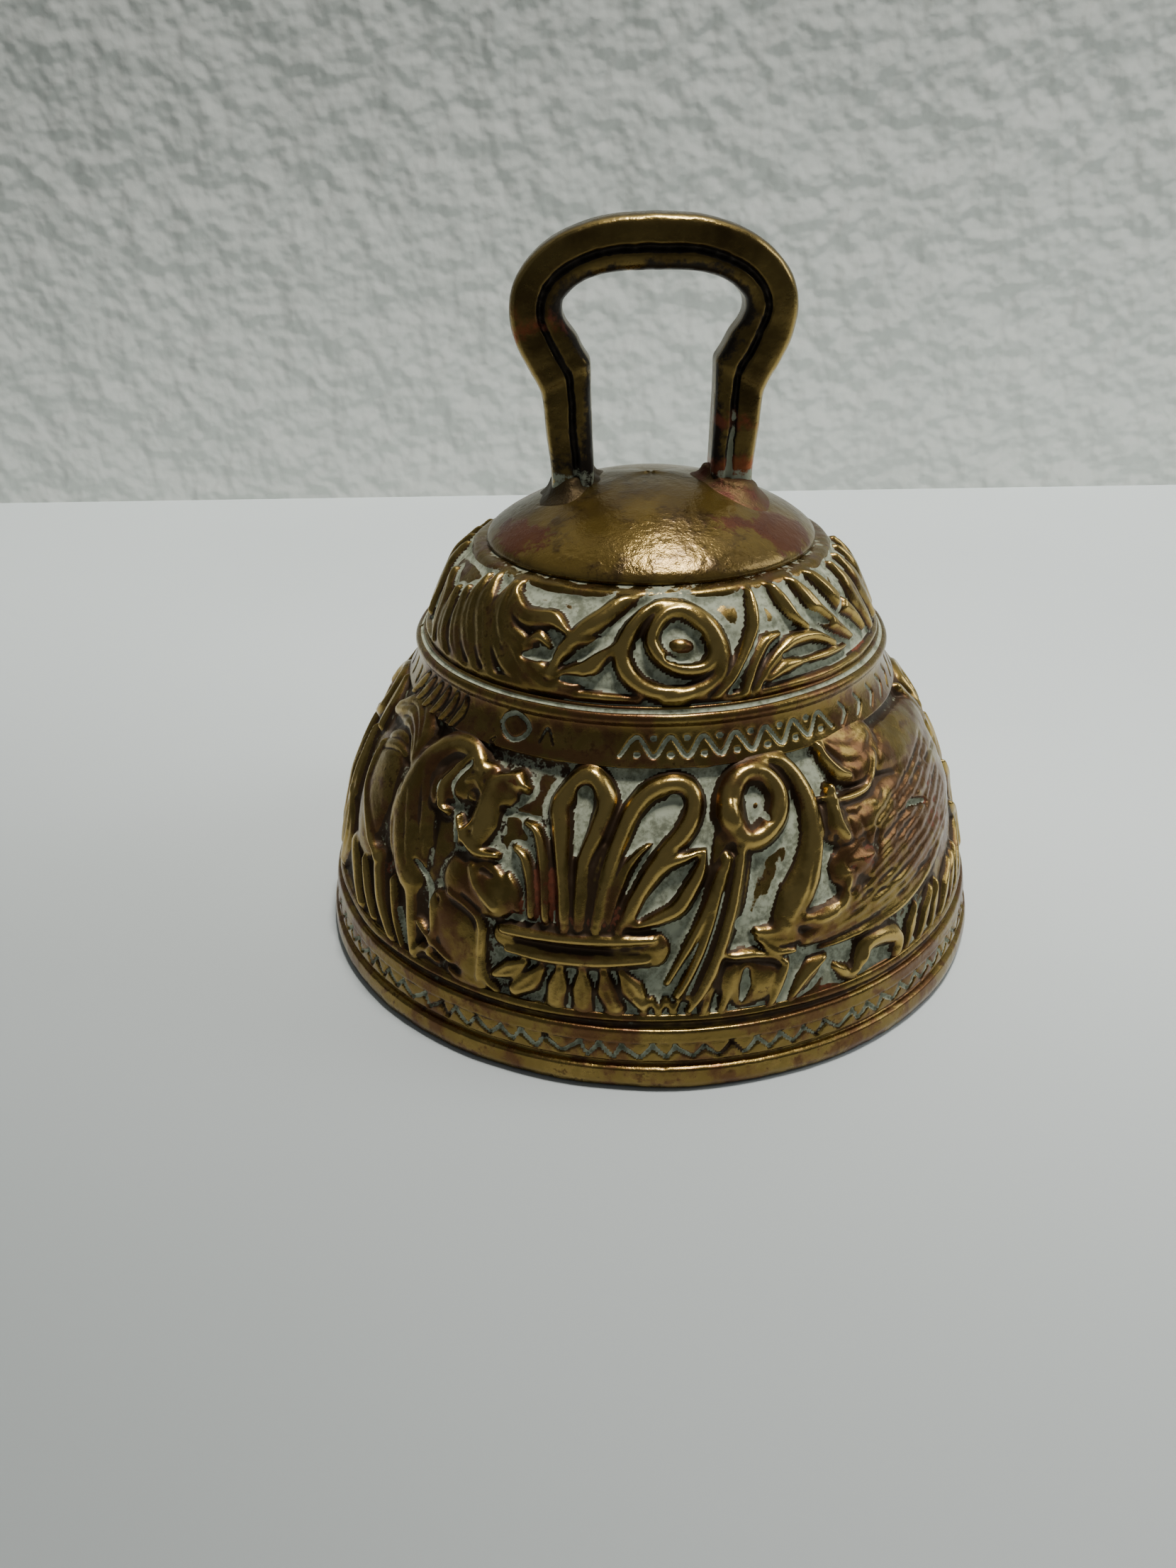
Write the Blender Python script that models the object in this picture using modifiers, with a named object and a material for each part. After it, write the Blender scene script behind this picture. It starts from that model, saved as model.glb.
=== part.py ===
"""Cast brass sanctus bell with a loop handle and a swinging clapper.

The bell stands on its rim: the origin is the centre of the rim circle on the
table, +Z goes up through the handle and the handle's loop lies across X.
"""

import math

import bmesh
import bpy
from mathutils import Matrix, Vector

MM = 0.001

# ---------------------------------------------------------------------------
# Driving dimensions, in metres
# ---------------------------------------------------------------------------
RIM = 40.0                       # outer radius of the mouth, in millimetres
CROWN = 53.0                     # height of the crown's middle, in millimetres
HANDLE_TOP = 79.05 * MM          # height of the top of the loop
RUNNING_GAP = 0.3 * MM           # room left between neighbouring pieces

WALL_STEPS = 48                  # flats round the turned shell

HANDLE_DEPTH = 6.0 * MM          # front to back
HANDLE_EDGE = 1.2 * MM           # worn round edge of the loop
LEG_OUTER = 11.0 * MM            # outside of a leg where it meets the crown
LEG_INNER = 6.3 * MM             # inside of a leg where it meets the crown
LEG_CENTRE = (LEG_OUTER + LEG_INNER) / 2
FACE_GROOVE_RADIUS = 0.5 * MM    # hollow line along the middle of the loop's faces

TENON_RADIUS = 1.7 * MM          # round end of a leg, passed through the crown
TENON_HOLE_RADIUS = TENON_RADIUS + RUNNING_GAP
TENON_FOOT = 47.6 * MM           # height of the tenon's hammered end, inside

BRAZE_TOP = 53.3 * MM            # top of the brazing metal against a leg
BRAZE_FOOT = 49.0 * MM           # where its cone would end, under the crown's surface
BRAZE_NECK = 4.0 * MM            # radius at its top
BRAZE_SPREAD = 6.8 * MM          # radius at its foot
BRAZE_STRETCH = 1.22             # front to back against side to side

STAPLE_WIRE = 1.0 * MM           # wire radii
LINK_WIRE = 0.8 * MM
EYE_WIRE = 0.9 * MM
STAPLE_SPREAD = 3.6 * MM         # half the distance between the staple's legs
STAPLE_BAR = 43.5 * MM           # height of the bar that the link hangs on
STAPLE_SOCKET = 50.9 * MM        # how high the staple's sockets reach into the crown
LINK_DROP = 4.7 * MM             # from the staple's bar to the link's lower wire
LINK_BEND = 2.3 * MM             # radius of the link's round ends
EYE_RADIUS = 2.15 * MM           # middle of the wire round the clapper's eye
CLAPPER_PIVOT = STAPLE_BAR - LINK_DROP
BALL_RADIUS = 5.0 * MM
BALL_HEIGHT = 6.5 * MM           # centre of the ball when it hangs at rest
BALL_HOLE_RADIUS = EYE_WIRE + RUNNING_GAP

# The shell's outside, crown to rim, as (radius, height) in millimetres.
OUTER_CROWN = [
    (0.0, CROWN), (3.2, CROWN - 0.15), (6.4, 52.4), (9.8, 51.5), (13.0, 50.1),
    (15.8, 48.6), (17.6, 47.3), (18.1, 46.5), (17.7, 45.8),
]
OUTER_SHOULDER = [
    (19.4, 46.1), (21.4, 45.0), (22.8, 43.6), (23.9, 41.6), (25.1, 39.2), (26.0, 37.0),
]
OUTER_RIDGE = [(26.3, 36.2), (26.95, 35.7), (26.9, 34.9)]
OUTER_FLANK = [
    (26.9, 33.9), (27.4, 32.6), (29.0, 30.2), (30.8, 28.0), (32.2, 26.0),
    (34.2, 22.4), (36.2, 18.0), (37.4, 13.6), (38.3, 9.6), (38.5, 8.2),
]
OUTER_MOULDINGS = [
    (38.35, 7.2), (39.0, 6.7), (39.2, 5.2), (39.45, 3.5), (39.2, 2.9),
    (RIM - 0.15, 2.4), (RIM, 1.2), (RIM - 0.2, 0.3), (RIM - 0.6, 0.0),
]
# The inside, rim to crown.
INNER_WALL = [
    (36.6, 0.0), (36.2, 0.6), (35.8, 4.0), (35.3, 8.5), (34.6, 13.6), (33.4, 18.0),
    (31.4, 22.4), (29.3, 26.2), (26.2, 30.4), (24.4, 33.4), (23.8, 36.0),
    (22.6, 39.2), (20.9, 42.0), (18.4, 44.2), (14.5, 46.3), (9.2, 48.4),
    (4.6, 49.7), (0.0, 50.1),
]

# Right half of the handle loop, foot to top, as (x, z) in millimetres.
HANDLE_OUTSIDE = [
    (11.0, 54.0), (11.5, 58.0), (12.0, 62.4), (13.1, 64.5), (14.3, 66.8), (14.85, 69.5),
    (14.5, 72.2), (13.2, 74.4), (11.0, 76.4), (8.2, 77.8), (4.6, 78.75),
]
HANDLE_INSIDE = [
    (3.0, 73.65), (5.5, 73.3), (7.6, 72.5), (8.9, 71.4), (9.4, 70.1), (9.0, 68.9),
    (8.0, 67.6), (7.0, 66.3), (6.65, 65.0), (6.6, 61.0), (6.4, 57.0), (6.3, 54.0),
]
LOOP_EYE_TOP = 73.7              # height of the underside of the loop's top
LEG_BLANK_FOOT = 50.0            # the legs are made this long, then cut to the crown


# ---------------------------------------------------------------------------
# Scene, collections and materials
# ---------------------------------------------------------------------------
def clear_scene():
    for item in list(bpy.data.objects):
        bpy.data.objects.remove(item, do_unlink=True)


def new_collection(name):
    collection = bpy.data.collections.new(name)
    bpy.context.scene.collection.children.link(collection)
    return collection


def new_material(name, colour, roughness, metallic=1.0):
    material = bpy.data.materials.new(name)
    material.use_nodes = True
    shader = material.node_tree.nodes["Principled BSDF"]
    shader.inputs["Base Color"].default_value = (*colour, 1.0)
    shader.inputs["Roughness"].default_value = roughness
    shader.inputs["Metallic"].default_value = metallic
    return material


def place(item, collection, material=None):
    """Move an object from wherever it was made into one collection."""
    for old in list(item.users_collection):
        old.objects.unlink(item)
    collection.objects.link(item)
    if material:
        item.data.materials.append(material)
    return item


def as_cutter(item, collection):
    place(item, collection)
    item.hide_render = True
    item.display_type = "WIRE"
    return item


# ---------------------------------------------------------------------------
# Shapes
# ---------------------------------------------------------------------------
def turned(name, profile_mm, steps=WALL_STEPS):
    """An open profile from axis to axis, turned about Z into one solid."""
    work = bmesh.new()
    points = [work.verts.new((r * MM, 0.0, z * MM)) for r, z in profile_mm]
    for first, second in zip(points, points[1:]):
        work.edges.new((first, second))
    mesh = bpy.data.meshes.new(name)
    work.to_mesh(mesh)
    work.free()
    item = bpy.data.objects.new(name, mesh)
    bpy.context.scene.collection.objects.link(item)
    screw = item.modifiers.new("turn", "SCREW")
    screw.axis = "Z"
    screw.angle = math.tau
    screw.steps = steps
    screw.render_steps = steps
    screw.use_merge_vertices = True
    screw.merge_threshold = 0.00005
    screw.use_smooth_shade = True
    return item


def cylinder(name, radius, low, high, x=0.0, sides=24):
    bpy.ops.mesh.primitive_cylinder_add(
        vertices=sides, radius=radius, depth=high - low, location=(x, 0.0, (low + high) / 2)
    )
    item = bpy.context.object
    item.name = name
    item.data.name = name
    return item


def mesh_of(item, name):
    """Turn a curve object into a closed mesh object with its caps welded."""
    graph = bpy.context.evaluated_depsgraph_get()
    mesh = bpy.data.meshes.new_from_object(item.evaluated_get(graph))
    work = bmesh.new()
    work.from_mesh(mesh)
    bmesh.ops.remove_doubles(work, verts=work.verts, dist=0.000002)
    bmesh.ops.recalc_face_normals(work, faces=work.faces)
    work.to_mesh(mesh)
    work.free()
    solid = bpy.data.objects.new(name, mesh)
    solid.matrix_world = item.matrix_world.copy()
    bpy.context.scene.collection.objects.link(solid)
    bpy.data.objects.remove(item, do_unlink=True)
    return solid


def wire(name, points, radius, closed=False, sides=2):
    """A round wire along points in metres."""
    curve = bpy.data.curves.new(name, "CURVE")
    curve.dimensions = "3D"
    curve.bevel_depth = radius
    curve.bevel_resolution = sides
    curve.use_fill_caps = not closed
    spline = curve.splines.new("POLY")
    spline.points.add(len(points) - 1)
    for slot, point in zip(spline.points, points):
        slot.co = (*point, 1.0)
    spline.use_cyclic_u = closed
    item = bpy.data.objects.new(name, curve)
    bpy.context.scene.collection.objects.link(item)
    return item


def arc(centre, radius, start, end, steps):
    """Points of an arc in a plane, as (across, up) pairs, angles in degrees."""
    points = []
    for index in range(steps + 1):
        angle = math.radians(start + (end - start) * index / steps)
        points.append((centre[0] + radius * math.cos(angle), centre[1] + radius * math.sin(angle)))
    return points


def boolean(item, cutter, operation):
    modifier = item.modifiers.new(operation.lower(), "BOOLEAN")
    modifier.object = cutter
    modifier.operation = operation
    modifier.solver = "EXACT"


def shade(item, angle=35.0):
    item.data.shade_smooth()
    item.data.set_sharp_from_angle(angle=math.radians(angle))


# ---------------------------------------------------------------------------
# The bell's pieces
# ---------------------------------------------------------------------------
def make_shell(parts, cutters, brass):
    """Cast shell with holes for the handle's tenons and sockets for the staple."""
    profile = OUTER_CROWN + OUTER_SHOULDER + OUTER_RIDGE + OUTER_FLANK + OUTER_MOULDINGS + INNER_WALL
    shell = place(turned("bell_shell", profile), parts, brass)
    for side, x in (("right", LEG_CENTRE), ("left", -LEG_CENTRE)):
        hole = cylinder("tenon_hole_" + side, TENON_HOLE_RADIUS, 44 * MM, 56 * MM, x)
        boolean(shell, as_cutter(hole, cutters), "DIFFERENCE")
    socket_radius = STAPLE_WIRE + RUNNING_GAP
    for side, x in (("right", STAPLE_SPREAD), ("left", -STAPLE_SPREAD)):
        socket = cylinder("staple_socket_" + side, socket_radius, 45 * MM, STAPLE_SOCKET, x)
        boolean(shell, as_cutter(socket, cutters), "DIFFERENCE")
    return shell


def crown_clearance(cutters):
    """The crown raised by the running gap: what stands on the crown is cut with it."""
    gap = RUNNING_GAP / MM
    profile = [(r, z + gap) for r, z in OUTER_CROWN[:7]]
    profile += [(OUTER_CROWN[6][0], 44.0), (0.0, 44.0)]
    return as_cutter(turned("crown_clearance", profile), cutters)


def handle_outline():
    """Closed outline of the loop in the X-Z plane, in metres."""
    right_out = HANDLE_OUTSIDE
    right_in = HANDLE_INSIDE
    left_out = [(-x, z) for x, z in reversed(right_out)]
    left_in = [(-x, z) for x, z in reversed(right_in)]
    foot = LEG_BLANK_FOOT
    outline = [(LEG_OUTER / MM, foot)] + right_out + [(0.0, HANDLE_TOP / MM)] + left_out
    outline += [(-LEG_OUTER / MM, foot), (-LEG_INNER / MM, foot)]
    outline += left_in + [(0.0, LOOP_EYE_TOP)] + right_in + [(LEG_INNER / MM, foot)]
    return [(x * MM, z * MM) for x, z in outline]


def groove_line():
    """Middle of the band round the loop, foot to foot, for the hollow in its faces."""
    inside = list(reversed(HANDLE_INSIDE))
    half = []
    for x, z in HANDLE_OUTSIDE[:-1]:
        near = min(inside, key=lambda p: (p[0] - x) ** 2 + (p[1] - z) ** 2)
        half.append(((x + near[0]) / 2 * MM, (z + near[1]) / 2 * MM))
    middle = (0.0, (HANDLE_TOP + LOOP_EYE_TOP * MM) / 2)
    mirrored = [(-x, z) for x, z in reversed(half)]
    return half + [middle] + mirrored


def smooth_curve(name, outline, closed, flat):
    """A Bezier curve with automatic handles through points of the X-Z plane."""
    curve = bpy.data.curves.new(name, "CURVE")
    curve.dimensions = "2D" if flat else "3D"
    curve.resolution_u = 3
    spline = curve.splines.new("BEZIER")
    spline.bezier_points.add(len(outline) - 1)
    for slot, (x, z) in zip(spline.bezier_points, outline):
        slot.co = (x, z, 0.0)
        slot.handle_left_type = "AUTO"
        slot.handle_right_type = "AUTO"
    spline.use_cyclic_u = closed
    item = bpy.data.objects.new(name, curve)
    bpy.context.scene.collection.objects.link(item)
    item.rotation_euler = (math.radians(90), 0.0, 0.0)
    bpy.context.view_layer.update()
    return item


def make_handle(parts, cutters, clearance, brass):
    """Keyhole-shaped loop with worn edges, a hollow line in each face and two tenons."""
    blank = smooth_curve("handle_blank", handle_outline(), True, True)
    blank.data.fill_mode = "BOTH"
    blank.data.extrude = HANDLE_DEPTH / 2 - HANDLE_EDGE
    blank.data.bevel_depth = HANDLE_EDGE
    blank.data.bevel_resolution = 1
    blank.data.offset = -HANDLE_EDGE
    for slot in blank.data.splines[0].bezier_points:
        if slot.co.y < (LEG_BLANK_FOOT + 1.0) * MM:
            slot.handle_left_type = "VECTOR"
            slot.handle_right_type = "VECTOR"
    handle = place(mesh_of(blank, "handle"), parts, brass)
    for side, y in (("front", -1), ("back", 1)):
        line = smooth_curve("groove_" + side, groove_line(), False, False)
        line.data.bevel_depth = FACE_GROOVE_RADIUS
        line.data.bevel_resolution = 1
        line.data.use_fill_caps = True
        line.location.y = y * (HANDLE_DEPTH / 2 + 0.1 * MM)
        bpy.context.view_layer.update()
        boolean(handle, as_cutter(mesh_of(line, "groove_" + side), cutters), "DIFFERENCE")
    boolean(handle, clearance, "DIFFERENCE")
    for side, x in (("right", LEG_CENTRE), ("left", -LEG_CENTRE)):
        tenon = cylinder("tenon_" + side, TENON_RADIUS, TENON_FOOT, 56 * MM, x)
        boolean(handle, as_cutter(tenon, cutters), "UNION")
    shade(handle)
    return handle


def make_braze(side, x, parts, cutters, clearance, metal):
    """Collar of brazing metal run round the foot of one leg."""
    bpy.ops.mesh.primitive_cone_add(
        vertices=32, radius1=BRAZE_SPREAD, radius2=BRAZE_NECK, depth=BRAZE_TOP - BRAZE_FOOT,
        location=(x, 0.0, (BRAZE_FOOT + BRAZE_TOP) / 2),
    )
    collar = bpy.context.object
    collar.name = "handle_braze_" + side
    collar.data.name = collar.name
    collar.data.transform(Matrix.Diagonal((1.0, BRAZE_STRETCH, 1.0, 1.0)))
    place(collar, parts, metal)
    bpy.ops.mesh.primitive_cube_add(size=1.0, location=(x, 0.0, 51 * MM))
    room = bpy.context.object
    room.name = "leg_room_" + side
    width = LEG_OUTER - LEG_INNER + 2 * RUNNING_GAP + 0.1 * MM
    depth = HANDLE_DEPTH + 2 * RUNNING_GAP
    room.data.transform(Matrix.Diagonal((width, depth, 12 * MM, 1.0)))
    boolean(collar, as_cutter(room, cutters), "DIFFERENCE")
    boolean(collar, clearance, "DIFFERENCE")
    return collar


def make_staple(parts, iron):
    """Wire staple set in the crown; its level bar carries the clapper's link."""
    bend = 1.6 * MM
    spread, bar = STAPLE_SPREAD, STAPLE_BAR
    top = STAPLE_SOCKET - RUNNING_GAP
    flat = [(-spread, top), (-spread, 46.0 * MM)]
    flat += arc((-spread + bend, bar + bend), bend, 180, 270, 5)
    flat += arc((spread - bend, bar + bend), bend, 270, 360, 5)
    flat += [(spread, 46.0 * MM), (spread, top)]
    points = [(x, 0.0, z) for x, z in flat]
    staple = place(wire("clapper_staple", points, STAPLE_WIRE), parts, iron)
    return staple


def make_link(parts, iron):
    """Closed oval link. Its parent empty sits on the staple's bar, its hinge."""
    high = arc((0.0, 0.0), LINK_BEND, 0, 180, 10)
    low = arc((0.0, -LINK_DROP + LINK_BEND), LINK_BEND, 180, 360, 10)
    points = [(0.0, y, z) for y, z in high + low]
    link = place(wire("clapper_link", points, LINK_WIRE, closed=True), parts, iron)
    hinge = bpy.data.objects.new("link_hinge", None)
    parts.objects.link(hinge)
    hinge.location = (0.0, 0.0, STAPLE_BAR)
    link.parent = hinge
    return hinge


def make_clapper(parts, cutters, hinge_above, iron):
    """Stem with a forged eye, and the ball riveted on its foot."""
    hinge = bpy.data.objects.new("clapper_hinge", None)
    parts.objects.link(hinge)
    hinge.parent = hinge_above
    hinge.location = (0.0, 0.0, -LINK_DROP)

    foot = BALL_HEIGHT - BALL_RADIUS + RUNNING_GAP
    stem_low = foot - CLAPPER_PIVOT
    stem = cylinder("clapper_stem", EYE_WIRE, stem_low, -EYE_RADIUS, sides=16)
    stem.data.transform(Matrix.Translation(Vector((0.0, 0.0, stem.location.z))))
    stem.location = (0.0, 0.0, 0.0)
    place(stem, parts, iron)
    stem.parent = hinge
    bpy.ops.mesh.primitive_torus_add(
        major_segments=24, minor_segments=10, major_radius=EYE_RADIUS, minor_radius=EYE_WIRE,
        location=(0.0, 0.0, CLAPPER_PIVOT), rotation=(math.radians(90), 0.0, 0.0),
    )
    eye = bpy.context.object
    eye.name = "stem_eye"
    boolean(stem, as_cutter(eye, cutters), "UNION")
    shade(stem)

    bpy.ops.mesh.primitive_uv_sphere_add(
        segments=24, ring_count=14, radius=BALL_RADIUS, location=(0.0, 0.0, 0.0)
    )
    ball = bpy.context.object
    ball.name = "clapper_ball"
    ball.data.name = "clapper_ball"
    place(ball, parts, iron)
    ball.parent = hinge
    ball.location = (0.0, 0.0, BALL_HEIGHT - CLAPPER_PIVOT)
    bore = cylinder("ball_bore", BALL_HOLE_RADIUS, 0.0, BALL_HEIGHT + 2 * BALL_RADIUS, sides=16)
    boolean(ball, as_cutter(bore, cutters), "DIFFERENCE")
    shade(ball)
    return hinge


def main():
    clear_scene()
    parts = new_collection("sanctus_bell")
    cutters = new_collection("cutters")
    brass = new_material("aged_brass", (0.36, 0.27, 0.10), 0.42)
    copper = new_material("coppery_braze", (0.42, 0.20, 0.12), 0.5)
    iron = new_material("dark_iron", (0.10, 0.09, 0.085), 0.6)

    make_shell(parts, cutters, brass)
    clearance = crown_clearance(cutters)
    make_handle(parts, cutters, clearance, brass)
    for side, x in (("right", LEG_CENTRE), ("left", -LEG_CENTRE)):
        make_braze(side, x, parts, cutters, clearance, copper)
    make_staple(parts, iron)
    link_hinge = make_link(parts, iron)
    make_clapper(parts, cutters, link_hinge, iron)


main()
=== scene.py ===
"""Sanctus bell: the chased brass shell, its loop handle and the clapper inside it.

Lengths in the tables are millimetres and angles are degrees round the bell from
its front, positive to the right. The bell stands on its rim at the origin.
"""

import math

import bmesh
import bpy
import numpy as np
from bpy.props import FloatProperty, FloatVectorProperty, IntProperty, PointerProperty
from mathutils import Matrix, Vector


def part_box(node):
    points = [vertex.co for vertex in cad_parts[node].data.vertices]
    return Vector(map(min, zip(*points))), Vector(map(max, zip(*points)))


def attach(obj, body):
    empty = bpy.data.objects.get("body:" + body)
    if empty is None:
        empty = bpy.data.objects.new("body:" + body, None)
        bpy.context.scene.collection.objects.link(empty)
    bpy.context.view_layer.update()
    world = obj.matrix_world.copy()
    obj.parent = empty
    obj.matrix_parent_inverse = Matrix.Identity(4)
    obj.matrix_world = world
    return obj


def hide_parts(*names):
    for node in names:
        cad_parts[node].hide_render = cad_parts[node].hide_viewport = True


bl_info = {
    "name": "Sanctus Bell",
    "version": (1, 0, 0),
    "blender": (4, 5, 0),
    "location": "3D View > Sidebar > Bell",
    "description": "Builds a chased brass sanctus bell with its handle and clapper",
    "category": "Object",
}

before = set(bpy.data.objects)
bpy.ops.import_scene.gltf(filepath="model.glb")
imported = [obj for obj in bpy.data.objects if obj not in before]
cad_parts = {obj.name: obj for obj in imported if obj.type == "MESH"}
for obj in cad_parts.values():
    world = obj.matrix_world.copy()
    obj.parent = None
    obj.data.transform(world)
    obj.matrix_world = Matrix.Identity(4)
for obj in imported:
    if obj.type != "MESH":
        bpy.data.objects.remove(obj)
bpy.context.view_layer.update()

MM = 0.001
DEGREE = math.pi / 180

# ---------------------------------------------------------------------------
# Outlines, as (radius, height) in millimetres
# ---------------------------------------------------------------------------
RIM_MOULDINGS = [
    (38.6, 0.0), (39.4, 0.0), (39.8, 0.3), (40.0, 1.2), (39.85, 2.2), (39.75, 2.45), (39.2, 2.75),
    (39.15, 3.05), (39.45, 3.4), (39.4, 4.4), (39.25, 5.2), (39.3, 5.35), (39.15, 6.0), (39.0, 6.7),
    (38.5, 7.0), (38.4, 7.35), (38.6, 7.8), (38.35, 8.3),
]
FLANK = [
    (38.5, 8.0), (38.3, 9.6), (37.4, 13.6), (36.2, 18.0), (34.2, 22.4), (32.2, 26.0),
    (30.8, 28.0), (29.0, 30.2), (27.9, 31.6),
]
WAIST = [
    (28.3, 30.9), (27.5, 32.4), (27.0, 33.7), (26.85, 34.6), (27.0, 34.95), (27.15, 35.4),
    (26.95, 35.85), (26.4, 36.15), (26.1, 36.5),
]
SHOULDER = [
    (26.2, 36.2), (25.7, 37.8), (25.1, 39.2), (23.9, 41.6), (22.8, 43.6), (21.4, 45.0),
    (19.6, 46.1), (17.6, 46.3),
]
CROWN = [
    (16.6, 45.5), (17.6, 45.75), (18.1, 46.2), (18.15, 46.6), (17.6, 47.3), (15.8, 48.6),
    (13.0, 50.1), (9.8, 51.5), (6.4, 52.4), (3.2, 52.85), (0.0, 53.0),
]
INSIDE = [
    (38.6, 0.0), (36.6, 0.05), (36.2, 0.6), (35.8, 4.0), (35.3, 8.5), (34.6, 13.6), (33.4, 18.0),
    (31.4, 22.4), (29.3, 26.2), (26.2, 30.4), (24.4, 33.4), (23.8, 36.0), (22.6, 39.2),
    (20.9, 42.0), (18.4, 44.2), (14.5, 46.3), (9.2, 48.4), (4.6, 49.7), (0.0, 50.1),
]
BACKING = [
    (0.0, 51.4), (9.0, 50.0), (14.2, 47.9), (16.0, 45.6), (19.4, 44.2), (21.4, 42.0), (23.4, 39.0),
    (24.6, 36.0), (25.4, 33.0), (28.2, 28.9), (30.6, 25.6), (32.6, 22.0), (34.6, 17.6),
    (36.0, 13.0), (37.0, 8.5), (37.7, 4.0), (38.3, 0.9),
]

# The handle's right half as pairs of points (outside x, z, inside x, z), crown to top.
HANDLE_STATIONS = [
    (10.3, 47.6, 7.0, 47.6), (10.4, 49.0, 6.9, 49.0), (10.9, 50.6, 6.4, 50.6), (11.0, 54.0, 6.3, 54.0),
    (11.4, 57.6, 6.4, 57.4), (11.6, 60.4, 6.5, 61.6), (11.75, 61.5, 6.5, 64.0), (12.0, 62.3, 6.55, 65.0),
    (12.5, 63.3, 6.95, 65.7), (13.2, 64.5, 7.4, 66.4),
    (14.3, 66.8, 8.0, 67.6), (14.85, 69.5, 9.15, 69.2), (14.5, 72.2, 9.35, 70.5), (13.2, 74.4, 8.9, 71.4),
    (11.0, 76.4, 7.6, 72.5), (8.2, 77.8, 5.9, 73.2), (4.6, 78.75, 3.6, 73.6), (0.0, 79.05, 0.0, 73.7),
]


# One braze pool, as (reach from the leg's middle, height over the crown).
BRAZE_POOL = [
    (0.0, -1.2), (5.9, -1.2), (5.7, -0.4), (5.2, 0.02), (4.6, 0.2), (4.1, 0.42), (3.7, 0.8), (3.4, 1.15),
    (2.6, 1.3), (0.0, 1.3),
]
LEG_MIDDLE = 8.65
RAIL_STEPS = 420   # stations along the loop
LUMP_STEPS = 6     # stations that share one lump of the loop's surface
LUMP_TURNS = 16    # lumps round the loop's bar
LINK_WIRE, LINK_BEND = 0.8, 2.3
CLAPPER_WIRE, EYE_BEND = 0.9, 2.15
BALL_HEIGHT = 6.5

# ---------------------------------------------------------------------------
# The relief's settings, in millimetres
# ---------------------------------------------------------------------------
HALF_TURN = 180.0           # degrees that one relief covers
CRISP_STRIPS = (0.09, 0.2)  # how far strips melt into each other, and the ditch beside each
MERGED_STRIPS = (0.2, 0.06)
DITCH_REACH = 0.26          # how soon a ditch fades away from its strip
DITCH_ROOM = 0.9
DEEPEST_DITCH = 0.35
CUT_ROOM = 0.3
FAR_BELOW = -9
STRETCHED = (42.6, 44.8)    # heights over which the shoulder's leaves are drawn up to the crown
SEEDS = {"flank": 3, "waist": 5, "shoulder": 7, "rim": 11, "crown": 13, "handle": 21, "braze_left": 31,
         "braze_right": 37, "staple": 41, "link": 43, "eye": 47, "rod": 53}


# ---------------------------------------------------------------------------
# The set, in metres, with the camera in millimetres and degrees
# ---------------------------------------------------------------------------
STAGE_HALF = 0.9
WALL_PLACE, WALL_MIDDLE = 0.192, 0.88
TABLE_LEVEL = -0.00002
LAMPS = (  # name, place, target, size, power in watts, colour
    ("ceiling", (0.10, 0.02, 0.80), (0.0, 0.0, 0.0), 0.13, 6.4, (1.0, 0.98, 0.94)),
    ("window", (0.75, 0.10, 0.55), (0.0, 0.02, 0.03), 0.5, 3.2, (0.93, 0.97, 1.0)),
)
ROOM_COLOUR, ROOM_STRENGTH = (0.86, 0.93, 1.0, 1.0), 0.16
SENSOR, LENS = 36.0, 27.667
CAMERA_PLACE = (-7.48, -133.2, 85.84)
CAMERA_DOWN, CAMERA_ROLL = 28.32, -0.9


# ---------------------------------------------------------------------------
# Curves
# ---------------------------------------------------------------------------
def smooth_line(points, steps=8, closed=False):
    """A smooth curve through every point, with steps points from one to the next."""
    line = np.array(points, float)
    if closed:
        line = np.vstack([line[-1:], line, line[:2]])
    else:
        line = np.vstack([2 * line[0] - line[1], line, 2 * line[-1] - line[-2]])
    share = np.linspace(0, 1, steps, endpoint=False)[:, None]
    pieces = []
    for a, b, c, d in zip(line, line[1:], line[2:], line[3:]):
        bend = 2 * a - 5 * b + 4 * c - d
        twist = 3 * b - a - 3 * c + d
        pieces.append(0.5 * (2 * b + (c - a) * share + bend * share**2 + twist * share**3))
    if not closed:
        pieces.append(line[-2:-1])
    return np.vstack(pieces)


def evenly(line, count):
    """The same curve as count points at even distances."""
    run = np.concatenate([[0], np.cumsum(np.linalg.norm(np.diff(line, axis=0), axis=1))])
    wanted = np.linspace(0, run[-1], count)
    return np.stack([np.interp(wanted, run, line[:, axis]) for axis in range(line.shape[1])], 1)


def soft_step(value, low, high):
    """0 at low and 1 at high, with a soft change between them."""
    share = np.clip((value - low) / (high - low), 0, 1)
    return share * share * (3 - 2 * share)


def blur(grid, reach_rows, reach_columns):
    """Gaussian softening of a height map that closes on itself sideways."""
    for axis, reach in ((0, reach_rows), (1, reach_columns)):
        half = max(1, int(math.ceil(2.5 * reach)))
        weights = np.exp(-0.5 * (np.arange(-half, half + 1) / reach) ** 2)
        weights /= weights.sum()
        pad = [(half, half), (0, 0)] if axis == 0 else [(0, 0), (half, half)]
        padded = np.pad(grid, pad, mode="edge" if axis == 0 else "wrap")
        size = grid.shape[axis]
        grid = sum(
            w * (padded[k:k + size] if axis == 0 else padded[:, k:k + size])
            for k, w in enumerate(weights)
        )
    return grid


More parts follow.
